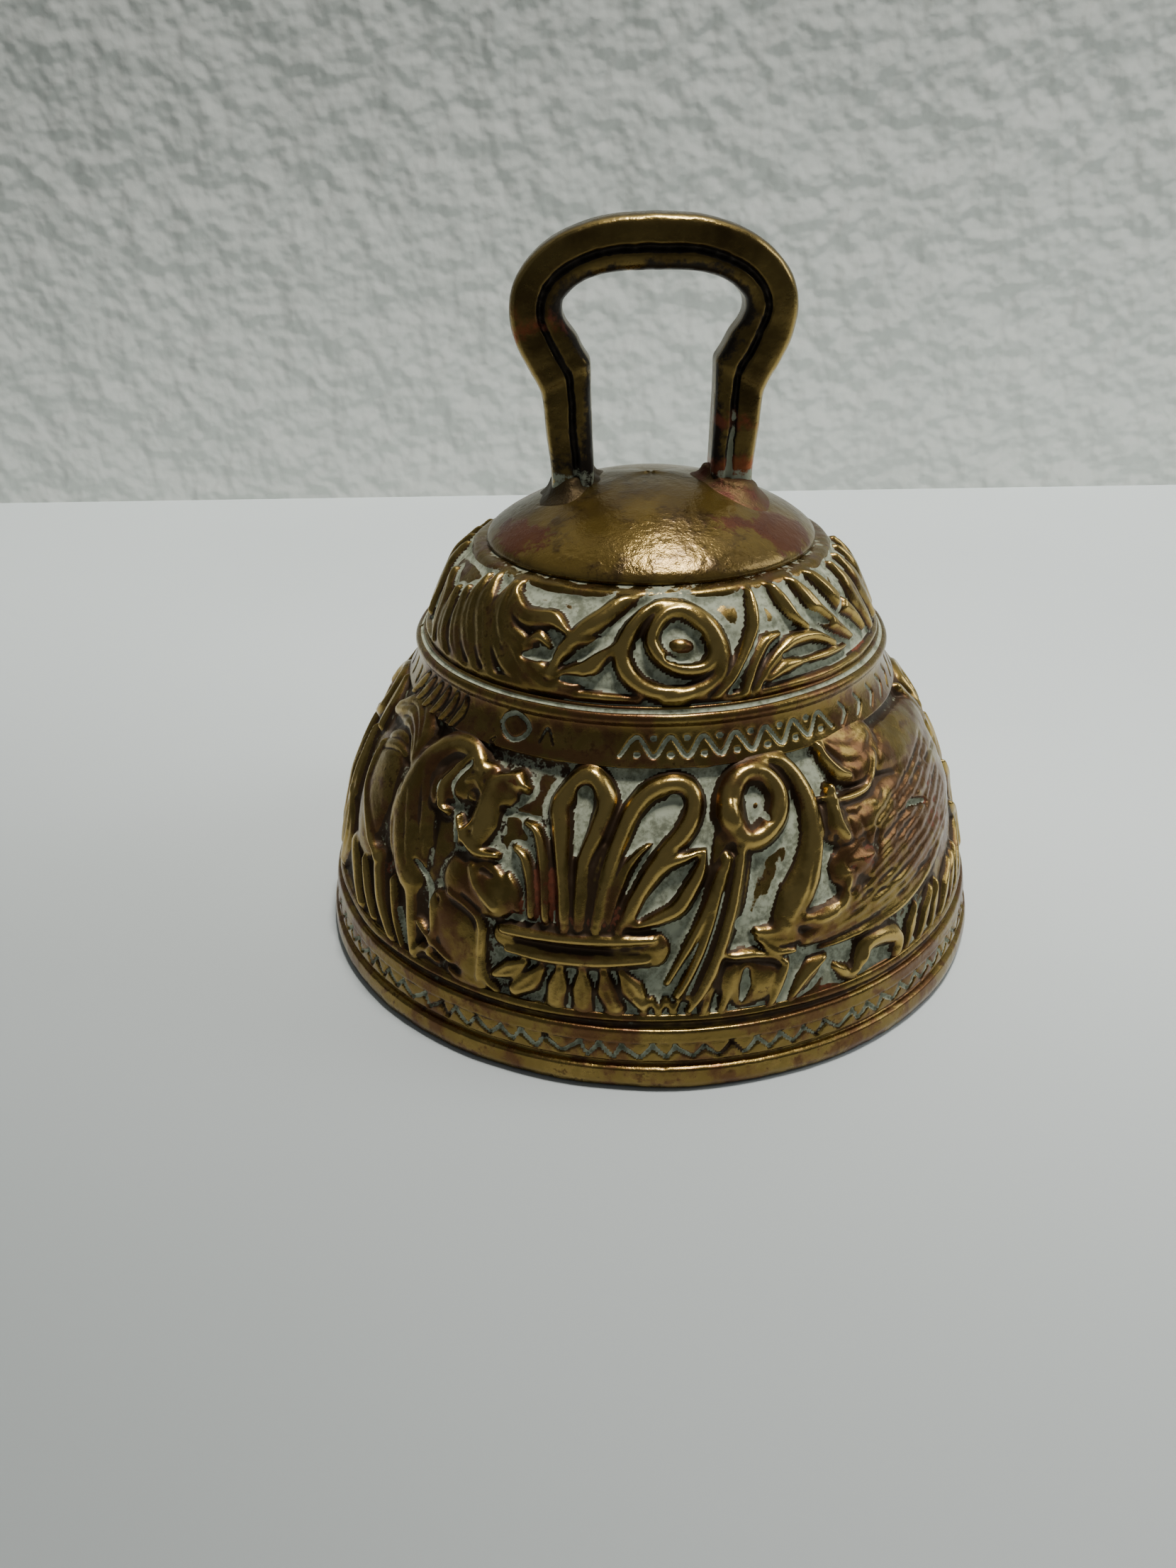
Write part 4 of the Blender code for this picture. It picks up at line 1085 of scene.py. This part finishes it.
def braze_metal(look):
    """Brazing metal: reddish, lumpy and scaled, with pale flux round it."""
    mix = Finish("braze_metal")
    middle = mix.noise(0.0016, 5, 0.62)
    fine = mix.noise(0.0004, 4, 0.65)
    edge = mix.painted("pale")
    red = mix.blend(middle.step(0.35, 0.65), (0.115, 0.036, 0.020), (0.13, 0.080, 0.028))
    side = mix.axes()[0]
    red = mix.blend(side.step(-0.002, 0.002), mix.blend(middle, (0.085, 0.056, 0.018), (0.045, 0.028, 0.012)), red)
    red = mix.blend(fine.step(0.55, 0.75) * 0.7, red, (0.06, 0.03, 0.02))
    flux = (edge + (middle - 0.5) * 1.2 + (fine - 0.5) * 0.8).step(0.62, 0.86)
    return mix.set(
        Base_Color=mix.blend(flux * 0.8, red, tuple(look.residue)),
        Metallic=0.75 - flux * 0.7,
        Roughness=0.50 + (middle - 0.5) * 0.3 + flux * 0.3,
        Normal=mix.bump(fine, 0.00008, 0.7, mix.bump(middle, 0.0003, 0.6)),
    )


def cast_inside():
    """The inside of the casting: dull, dark brass with a sandy skin."""
    mix = Finish("cast_brass_inside")
    broad = mix.noise(0.008, 5, 0.6)
    middle = mix.noise(0.0014, 5, 0.65)
    fine = mix.noise(0.0005, 4, 0.7)
    skin = mix.blend(broad.step(0.35, 0.68), (0.27, 0.185, 0.07), (0.14, 0.09, 0.036))
    skin = mix.blend(middle.step(0.56, 0.75) * 0.7, skin, (0.035, 0.022, 0.012))
    green = (broad * 0.6 + fine * 0.5).step(0.66, 0.78)
    return mix.set(
        Base_Color=mix.blend(green * 0.5, skin, (0.16, 0.21, 0.16)),
        Metallic=0.85 - green * 0.4,
        Roughness=0.5 + (middle - 0.5) * 0.3,
        Normal=mix.bump(fine, 0.00012, 0.8, mix.bump(middle, 0.0004, 0.6)),
    )


def forged_iron():
    """Blackened iron with brown rust in its pits."""
    mix = Finish("forged_iron")
    broad = mix.noise(0.004, 4)
    middle = mix.noise(0.0012, 5, 0.65)
    fine = mix.noise(0.0004, 4, 0.7)
    iron = mix.blend(broad.step(0.35, 0.65), (0.085, 0.078, 0.072), (0.16, 0.148, 0.135))
    rust = (middle * 0.8 + fine * 0.5).step(0.66, 0.84)
    return mix.set(
        Base_Color=mix.blend(rust, iron, mix.blend(fine, (0.12, 0.045, 0.02), (0.22, 0.09, 0.035))),
        Metallic=0.95 - rust * 0.8,
        Roughness=0.40 + rust * 0.4 + (fine - 0.5) * 0.2,
        Normal=mix.bump(fine, 0.0001, 0.7, mix.bump(middle, 0.0003, 0.6)),
    )


def table_finish(look):
    """A smooth white board, with painted shade that darkens it towards the front left."""
    mix = Finish("white_table")
    cloud = mix.noise(0.12, 3)
    fibre = mix.noise(0.0015, 4, 0.7)
    tone = mix.blend(cloud.step(0.3, 0.7), tuple(look.table), tuple(c * 0.96 for c in look.table))
    side, depth, _ = mix.axes()
    # painted shade: the board's colour is darkened towards the front and the left, where less light falls
    tone = mix.blend((0.31 - side * 2.0 - depth * 4.6).step(0, 1), tone, tuple(c * 0.32 for c in look.table))
    return mix.set(Base_Color=tone, Roughness=0.62 + (fibre - 0.5) * 0.1, Normal=mix.bump(fibre, 0.00004, 0.3))


def wall_finish(look):
    """Lumpy painted plaster, with painted shade that darkens it towards the top and towards the left."""
    mix = Finish("plaster_wall")
    cloud = mix.noise(0.05, 3)
    grit = mix.noise(0.0016, 3, 0.6)
    tone = mix.blend(cloud.step(0.3, 0.7), tuple(look.wall), tuple(c * 0.95 for c in look.wall))
    side, _, height = mix.axes()
    # painted shade: the plaster's colour is darkened towards the top and the left, where less light falls
    tone = mix.blend((height * 5.2 - side * 0.63 + 0.105).step(0, 1), tone, tuple(c * 0.57 for c in look.wall))
    lump = mix.noise(0.0050, 1.4, 0.38)
    daub = mix.noise(0.014, 1.5, 0.5)
    swell = mix.bump(daub, 0.004, 0.7)
    return mix.set(Base_Color=tone, Roughness=0.85 + (grit - 0.5) * 0.1,
                   Normal=mix.bump(grit, 0.0002, 0.5, mix.bump(lump, 0.0030, 0.8, swell)))


# ---------------------------------------------------------------------------
# Settings
# ---------------------------------------------------------------------------
class BellLook(bpy.types.PropertyGroup):
    """Colours of the metal and of the set."""

    brass_gold: FloatVectorProperty(name="Brass", description="Brass where it is rubbed", subtype="COLOR",
                                    default=(0.30, 0.203, 0.060), min=0, max=1)
    brass_olive: FloatVectorProperty(name="Olive brass", description="Brass where it has dulled", subtype="COLOR",
                                     default=(0.195, 0.133, 0.039), min=0, max=1)
    patina: FloatVectorProperty(name="Patina", description="Brown in the hollows", subtype="COLOR",
                                default=(0.045, 0.025, 0.011), min=0, max=1)
    copper: FloatVectorProperty(name="Copper stain", description="Red where zinc has gone", subtype="COLOR",
                                default=(0.235, 0.064, 0.030), min=0, max=1)
    residue: FloatVectorProperty(name="Polish residue", description="Dried polish in the ground", subtype="COLOR",
                                 default=(0.41, 0.435, 0.315), min=0, max=1)
    table: FloatVectorProperty(name="Table", description="Colour of the table", subtype="COLOR",
                               default=(0.79, 0.845, 0.835), min=0, max=1)
    wall: FloatVectorProperty(name="Wall", description="Colour of the wall", subtype="COLOR",
                              default=(0.80, 0.825, 0.765), min=0, max=1)


class BellSizes(bpy.types.PropertyGroup):
    """Sizes and counts a maker would change."""

    flank_steps: IntProperty(name="Flank steps", description="Columns of the main scene, per half turn",
                             default=640, min=90, max=640)
    rim_teeth: IntProperty(name="Rim teeth", description="Teeth of the zigzag, per half turn", default=46, min=8)
    handle_depth: FloatProperty(name="Handle depth", description="Front to back", default=6.0 * MM,
                                min=2 * MM, unit="LENGTH")
    groove_depth: FloatProperty(name="Handle groove", description="Depth of the line in the loop's faces",
                                default=0.62 * MM, min=0, unit="LENGTH")
    ball_radius: FloatProperty(name="Clapper ball", description="Radius of the ball", default=5.0 * MM,
                               min=1 * MM, unit="LENGTH")


# ---------------------------------------------------------------------------
# Operators
# ---------------------------------------------------------------------------
class BELL_OT_inside(bpy.types.Operator):
    """Turn the casting itself: its inner wall and the backing of the chased skin"""

    bl_idname = "bell.inside"
    bl_label = "Casting"

    def execute(self, context):
        inner = evenly(smooth_line(INSIDE[1:], 6), 110)
        outline = [tuple(p) for p in inner] + BACKING + [(38.45, 0.15)]
        work = bmesh.new()
        made, edges = front_outline(work, outline)
        edges.append(work.edges.new((made[-1], made[0])))
        edges = [e for e in edges if not all(v.co.xy.length < 1e-7 for v in e.verts)]
        spin_round(work, made + edges, math.tau, 184)
        bmesh.ops.recalc_face_normals(work, faces=work.faces)
        piece = new_piece("bell_casting", work, cast_inside(), "bell", ("bell_shell",))
        place = positions(piece.data)
        wave = 0.10 * np.sin(place[:, 0] * 390 + place[:, 2] * 610) * np.sin(place[:, 1] * 430 - place[:, 2] * 270)
        wave += 0.05 * np.sin(place[:, 0] * 1310 + 2) * np.sin(place[:, 1] * 1170) * np.sin(place[:, 2] * 1430)
        radius = np.hypot(place[:, 0], place[:, 1])
        inside = (place[:, 2] > 0.001) & (radius > 0.004)
        place[:, :2] += (place[:, :2] / np.maximum(radius, 1e-6)[:, None]) * (wave * MM * inside)[:, None]
        move_to(piece.data, place)
        return {"FINISHED"}


class BELL_OT_skin(bpy.types.Operator):
    """Chase the outside: rim, scene, band, shoulder and crown"""

    bl_idname = "bell.skin"
    bl_label = "Chased skin"

    def execute(self, context):
        look, sizes = context.scene.bell_look, context.scene.bell_sizes
        brass = chased_brass(look)
        flank = chase_flank(134, sizes.flank_steps)
        back = [(26.2, 31.4), (28.4, 28.6), (31.4, 23.4), (34.0, 17.0), (36.3, 8.2)]
        turned_relief("scene_front", flank, back, sizes.flank_steps, brass, half=-90)
        turned_relief("scene_back", flank, back, sizes.flank_steps, brass, half=90)
        waist = chase_waist(44, 480)
        turned_relief("inscription_band", waist, [(25.2, 36.3), (25.8, 33.5), (27.3, 30.7)], 960, brass)
        shoulder = chase_shoulder(72, 400)
        turned_relief("shoulder_foliage", shoulder,
                      [(17.0, 45.3), (20.6, 43.6), (22.6, 41.0), (24.4, 37.4), (25.0, 36.2)], 800, brass)
        rim = chase_rim(64, 500, sizes.rim_teeth)
        turned_relief("rim_mouldings", rim,
                      [(37.4, 8.2), (38.0, 4.5), (38.4, 0.6), (38.7, 0.02), (39.4, 0.0)], 1000, brass)
        crown = planish_crown(76, 190)
        turned_relief("crown", crown, [(0.0, 51.3), (9.0, 50.2), (14.4, 48.0), (16.2, 45.9)], 380,
                      polished_brass(look))
        return {"FINISHED"}


class BELL_OT_handle(bpy.types.Operator):
    """Draw the loop handle and run its legs through the crown"""

    bl_idname = "bell.handle"
    bl_label = "Loop handle"

    def execute(self, context):
        sizes = context.scene.bell_sizes
        half = smooth_line(HANDLE_STATIONS, 12)
        mirror = half[:-1][::-1] * np.array([-1, 1, -1, 1])
        rail = evenly(np.vstack([half, mirror]), RAIL_STEPS)
        outer = np.stack([rail[:, 0], np.zeros(len(rail)), rail[:, 1]], 1)
        inner = np.stack([rail[:, 2], np.zeros(len(rail)), rail[:, 3]], 1)
        centres = (outer + inner) / 2
        across = (outer - inner) / 2
        level = centres[:, 2]
        tenon = soft_step(level, 50.8, 49.4)
        deep = sizes.handle_depth / MM / 2 * (1 - tenon) + 1.7 * tenon
        square = 4.6 * (1 - tenon) + 2.0 * tenon
        chance = np.random.default_rng(SEEDS["handle"])
        steps = np.arange(RAIL_STEPS)
        wander = np.interp(steps, np.linspace(0, RAIL_STEPS - 1, 60), chance.uniform(-.07, .07, 60))
        rough = np.interp(steps, np.linspace(0, RAIL_STEPS - 1, 140), chance.uniform(.55, 1.15, 140))
        lumps = chance.uniform(-1, 1, (RAIL_STEPS // LUMP_STEPS, LUMP_TURNS))
        groove = sizes.groove_depth / MM

        def shape(station, angle, u, v):
            middle = u + 0.5 - wander[station]
            line = np.exp(-(middle / 0.36) ** 4) * (np.abs(v) > deep[station] * 0.8)
            line = line * rough[station] * groove * (1 - tenon[station])
            turn = (angle / math.tau * LUMP_TURNS).astype(int) % LUMP_TURNS
            return -line + lumps[station // LUMP_STEPS, turn] * 0.018

        piece, station, angle, dent = drawn_bar("handle_loop", centres, across, deep, square, shape, 128,
                                                handle_brass(context.scene.bell_look), "bell",
                                                ("handle",), spaced=4.6)
        face = np.abs(np.sin(angle)) > 0.35
        hollow = np.clip(-dent / (groove * 0.8), 0, 1)
        outside = np.clip(np.cos(angle), 0, 1)
        height = level[station]
        right = centres[station, 0] > 0
        corner = np.exp(-(((np.abs(np.cos(angle)) - 0.72) / 0.16) ** 2))
        inward = np.clip(-np.cos(angle) * 1.3, 0, 1)
        low_leg = 0.16 * face * soft_step(height, 62, 55)
        store(piece.data, "hollow", hollow + 0.34 * face * inward + 0.1 * face + low_leg)
        store(piece.data, "crest", np.clip(0.45 * outside + 0.7 * corner, 0, 1))
        foot = 0.75 * soft_step(height, 55.4, 53) * soft_step(height, 49.5, 51)
        store(piece.data, "pale", hollow * 1.1 * right * soft_step(height, 63, 57) + foot)
        stain = np.exp(-(((height - 69) / 3) ** 2)) * ~right * 0.6
        stain += np.exp(-(((height - 59) / 2) ** 2)) * right * 0.6 + np.exp(-(((height - 54) / 1.6) ** 2)) * right * .9
        store(piece.data, "copper", stain)
        return {"FINISHED"}


class BELL_OT_braze(bpy.types.Operator):
    """Run a puddle of brazing metal round the foot of each leg"""

    bl_idname = "bell.braze"
    bl_label = "Brazing"

    def execute(self, context):
        metal = braze_metal(context.scene.bell_look)
        crown = evenly(smooth_line(CROWN[3:], 12), 200)[::-1]
        for side, sign, spread in (("left", -1, 0.80), ("right", 1, 0.96)):
            chance = np.random.default_rng(SEEDS["braze_" + side])
            line = evenly(smooth_line(BRAZE_POOL, 5), 60)
            line[0, 0] = line[-1, 0] = 0.0
            line[:, 0] = np.maximum(line[:, 0], 0)
            work = bmesh.new()
            made = [work.verts.new((r * MM, 0, h * MM)) for r, h in line]
            edges = [work.edges.new(pair) for pair in zip(made, made[1:])]
            bmesh.ops.spin(work, geom=made + edges, cent=(0, 0, 0), axis=(0, 0, 1), dvec=(0, 0, 0),
                           angle=math.tau, steps=96, use_merge=True, use_normal_flip=False, use_duplicate=False)
            bmesh.ops.remove_doubles(work, verts=work.verts, dist=1e-7)
            bmesh.ops.recalc_face_normals(work, faces=work.faces)
            phases = chance.uniform(0, math.tau, 5)
            for corner in work.verts:
                reach = math.hypot(corner.co.x, corner.co.y)
                turn = math.atan2(corner.co.y, corner.co.x)
                ragged = sum(math.sin((k + 2) * turn + phases[k]) / (k + 2) for k in range(5))
                outward = 1 + (0.24 * ragged + 0.10 * math.cos(turn) * sign) * min(1, reach / (4.5 * MM))
                x = (LEG_MIDDLE * sign) * MM + corner.co.x * outward * spread * 0.92
                y = corner.co.y * outward * spread * 1.12
                rise = corner.co.z * (1 + 0.22 * math.sin(3 * turn + phases[1]))
                surface = np.interp(math.hypot(x, y) / MM, crown[:, 0], crown[:, 1]) * MM
                corner.co = (x, y, surface + rise)
            piece = new_piece("handle_braze_pool_" + side, work, metal, "bell", ("handle_braze_" + side,))
            place = positions(piece.data)
            away = np.hypot(place[:, 0] - LEG_MIDDLE * sign * MM, place[:, 1]) / MM
            back = soft_step(place[:, 1] / MM, -1.0, 3.0)
            store(piece.data, "pale", soft_step(away, 3.6, 5.2) * (0.25 + 0.5 * back))
        return {"FINISHED"}


def wire_piece(name, line, radius, finish, body, replaced, seed, closed=False, across=(0, 1, 0), taper=None):
    """A forged wire along a line, with light hammer marks."""
    chance = np.random.default_rng(seed)
    count = len(line)
    marks = chance.uniform(-1, 1, (count // 3 + 2, 9))

    def shape(station, angle, u, v):
        turn = (angle / math.tau * 9).astype(int) % 9
        return marks[station // 3, turn] * radius * 0.035

    half = np.full(count, radius) if taper is None else radius * taper
    side = np.array(across, float)[None, :] * half[:, None]
    drawn_bar(name, line, side, half, np.full(count, 2.0), shape, 28, finish, body, replaced, closed)


def bend(centre, radius, start, end, steps):
    """Points along an arc, from one angle to another in degrees."""
    turn = np.radians(np.linspace(start, end, steps))
    return [(centre[0] + radius * math.cos(a), centre[1] + radius * math.sin(a)) for a in turn]


class BELL_OT_clapper(bpy.types.Operator):
    """Bend the staple and the link, and forge the clapper with its ball"""

    bl_idname = "bell.clapper"
    bl_label = "Staple, link and clapper"

    def execute(self, context):
        iron = forged_iron()
        sizes = context.scene.bell_sizes
        flat = [(-3.6, 50.6), (-3.6, 48.0), (-3.6, 46.2)] + bend((-2.0, 45.1), 1.6, 180, 270, 10)
        flat += bend((2.0, 45.1), 1.6, 270, 360, 10) + [(3.6, 46.2), (3.6, 48.0), (3.6, 50.6)]
        line = evenly(np.array([(x, 0.0, z) for x, z in flat]), 90)
        wire_piece("staple_wire", line, 1.0, iron, "bell", ("clapper_staple",), SEEDS["staple"])
        box_low, box_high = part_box("clapper_link")
        top, low = box_high.z / MM - LINK_WIRE - LINK_BEND, box_low.z / MM + LINK_WIRE + LINK_BEND
        ring = bend((0.0, top), LINK_BEND, 0, 180, 24) + bend((0.0, low), LINK_BEND, 180, 360, 24)
        ring = np.array([(0.0, y, z) for y, z in ring])
        ring = evenly(np.vstack([ring, ring[:1]]), 121)[:-1]
        wire_piece("link_wire", ring, LINK_WIRE, iron, "link", ("clapper_link",), SEEDS["link"], closed=True,
                   across=(1, 0, 0))
        box_low, box_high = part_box("clapper_stem")
        eye_middle = box_high.z / MM - CLAPPER_WIRE - EYE_BEND
        eye = np.array([(x, 0.0, z) for x, z in bend((0.0, eye_middle), EYE_BEND, -90, 270, 73)])[:-1]
        wire_piece("clapper_eye", eye, CLAPPER_WIRE, iron, "clapper", ("clapper_stem",), SEEDS["eye"], closed=True)
        foot = box_low.z / MM
        stem = np.array([(0.0, 0.0, z) for z in np.linspace(eye_middle - 2.2, foot, 80)])
        swell = 1 + 0.22 * np.exp(-((stem[:, 2] - eye_middle + 3) / 1.6) ** 2)
        swell *= 1 - 0.55 * soft_step(stem[:, 2], foot + 0.5, foot)
        wire_piece("clapper_rod", stem, CLAPPER_WIRE, iron, "clapper", (), SEEDS["rod"], across=(1, 0, 0),
                   taper=swell)
        radius = sizes.ball_radius / MM
        work = bmesh.new()
        bmesh.ops.create_uvsphere(work, u_segments=96, v_segments=64, radius=1.0)
        for corner in work.verts:
            x, y, z = corner.co
            flatten = 1 - 0.05 * z * z
            dent = 0.012 * math.sin(9 * x + 2) * math.sin(8 * y) * math.sin(7 * z + 1)
            dent += 0.006 * math.sin(23 * x) * math.sin(21 * z)
            seam = 0.014 * math.exp(-(z / 0.06) ** 2)
            size = radius * MM * (flatten * 0.985 + dent + seam)
            corner.co = (x * size, y * size, z * size + BALL_HEIGHT * MM)
        bmesh.ops.recalc_face_normals(work, faces=work.faces)
        new_piece("clapper_bob", work, iron, "clapper", ("clapper_ball",))
        return {"FINISHED"}


class BELL_OT_stage(bpy.types.Operator):
    """Set the table, the plaster wall, the soft light and the camera"""

    bl_idname = "bell.stage"
    bl_label = "Stage"

    def execute(self, context):
        look, scene = context.scene.bell_look, context.scene
        work = bmesh.new()
        bmesh.ops.create_grid(work, x_segments=24, y_segments=24, size=STAGE_HALF)
        bmesh.ops.translate(work, verts=work.verts, vec=(0, WALL_PLACE - STAGE_HALF, TABLE_LEVEL))
        made_object("table", work, table_finish(look))
        work = bmesh.new()
        bmesh.ops.create_grid(work, x_segments=60, y_segments=40, size=STAGE_HALF)
        bmesh.ops.rotate(work, verts=work.verts, cent=(0, 0, 0), matrix=Matrix.Rotation(math.radians(90), 3, "X"))
        bmesh.ops.translate(work, verts=work.verts, vec=(0, WALL_PLACE, WALL_MIDDLE))
        made_object("wall", work, wall_finish(look))
        for lamp in LAMPS:
            self.lamp(*lamp)
        world = bpy.data.worlds.new("room")
        world.use_nodes = True
        ground = world.node_tree.nodes["Background"]
        ground.inputs["Color"].default_value = ROOM_COLOUR
        ground.inputs["Strength"].default_value = ROOM_STRENGTH
        scene.world = world
        camera = bpy.data.cameras.new("camera")
        camera.sensor_width, camera.lens = SENSOR, LENS
        camera.clip_start, camera.clip_end = 0.005, 10.0
        eye = bpy.data.objects.new("camera", camera)
        scene.collection.objects.link(eye)
        eye.matrix_world = (
            Matrix.Translation([side * MM for side in CAMERA_PLACE])
            @ Matrix.Rotation(math.radians(90 - CAMERA_DOWN), 4, "X")
            @ Matrix.Rotation(math.radians(CAMERA_ROLL), 4, "Z")
        )
        scene.camera = eye
        return {"FINISHED"}

    def lamp(self, name, place, target, size, power, colour):
        """A square lamp that faces a target."""
        light = bpy.data.lights.new(name, "AREA")
        light.shape = "SQUARE"
        light.size, light.energy, light.color = size, power, colour
        thing = bpy.data.objects.new(name, light)
        bpy.context.scene.collection.objects.link(thing)
        thing.location = place
        thing.rotation_mode = "QUATERNION"
        thing.rotation_quaternion = (Vector(target) - Vector(place)).to_track_quat("-Z", "Y")


STEPS = (BELL_OT_inside, BELL_OT_skin, BELL_OT_handle, BELL_OT_braze, BELL_OT_clapper, BELL_OT_stage)


class BELL_PT_panel(bpy.types.Panel):
    """The bell's pieces in the sidebar"""

    bl_label = "Sanctus Bell"
    bl_idname = "BELL_PT_panel"
    bl_space_type = "VIEW_3D"
    bl_region_type = "UI"
    bl_category = "Bell"

    def draw(self, context):
        column = self.layout.column()
        for group in (context.scene.bell_sizes, context.scene.bell_look):
            for key in group.__annotations__:
                column.prop(group, key)
        for step in STEPS:
            column.operator(step.bl_idname)


CLASSES = (BellLook, BellSizes) + STEPS + (BELL_PT_panel,)


def register():
    for item in CLASSES:
        bpy.utils.register_class(item)
    bpy.types.Scene.bell_look = PointerProperty(type=BellLook)
    bpy.types.Scene.bell_sizes = PointerProperty(type=BellSizes)


def unregister():
    del bpy.types.Scene.bell_sizes
    del bpy.types.Scene.bell_look
    for item in reversed(CLASSES):
        bpy.utils.unregister_class(item)


def main():
    register()
    bpy.ops.bell.inside()
    bpy.ops.bell.skin()
    bpy.ops.bell.handle()
    bpy.ops.bell.braze()
    bpy.ops.bell.clapper()
    bpy.ops.bell.stage()


if __name__ == "__main__":
    main()
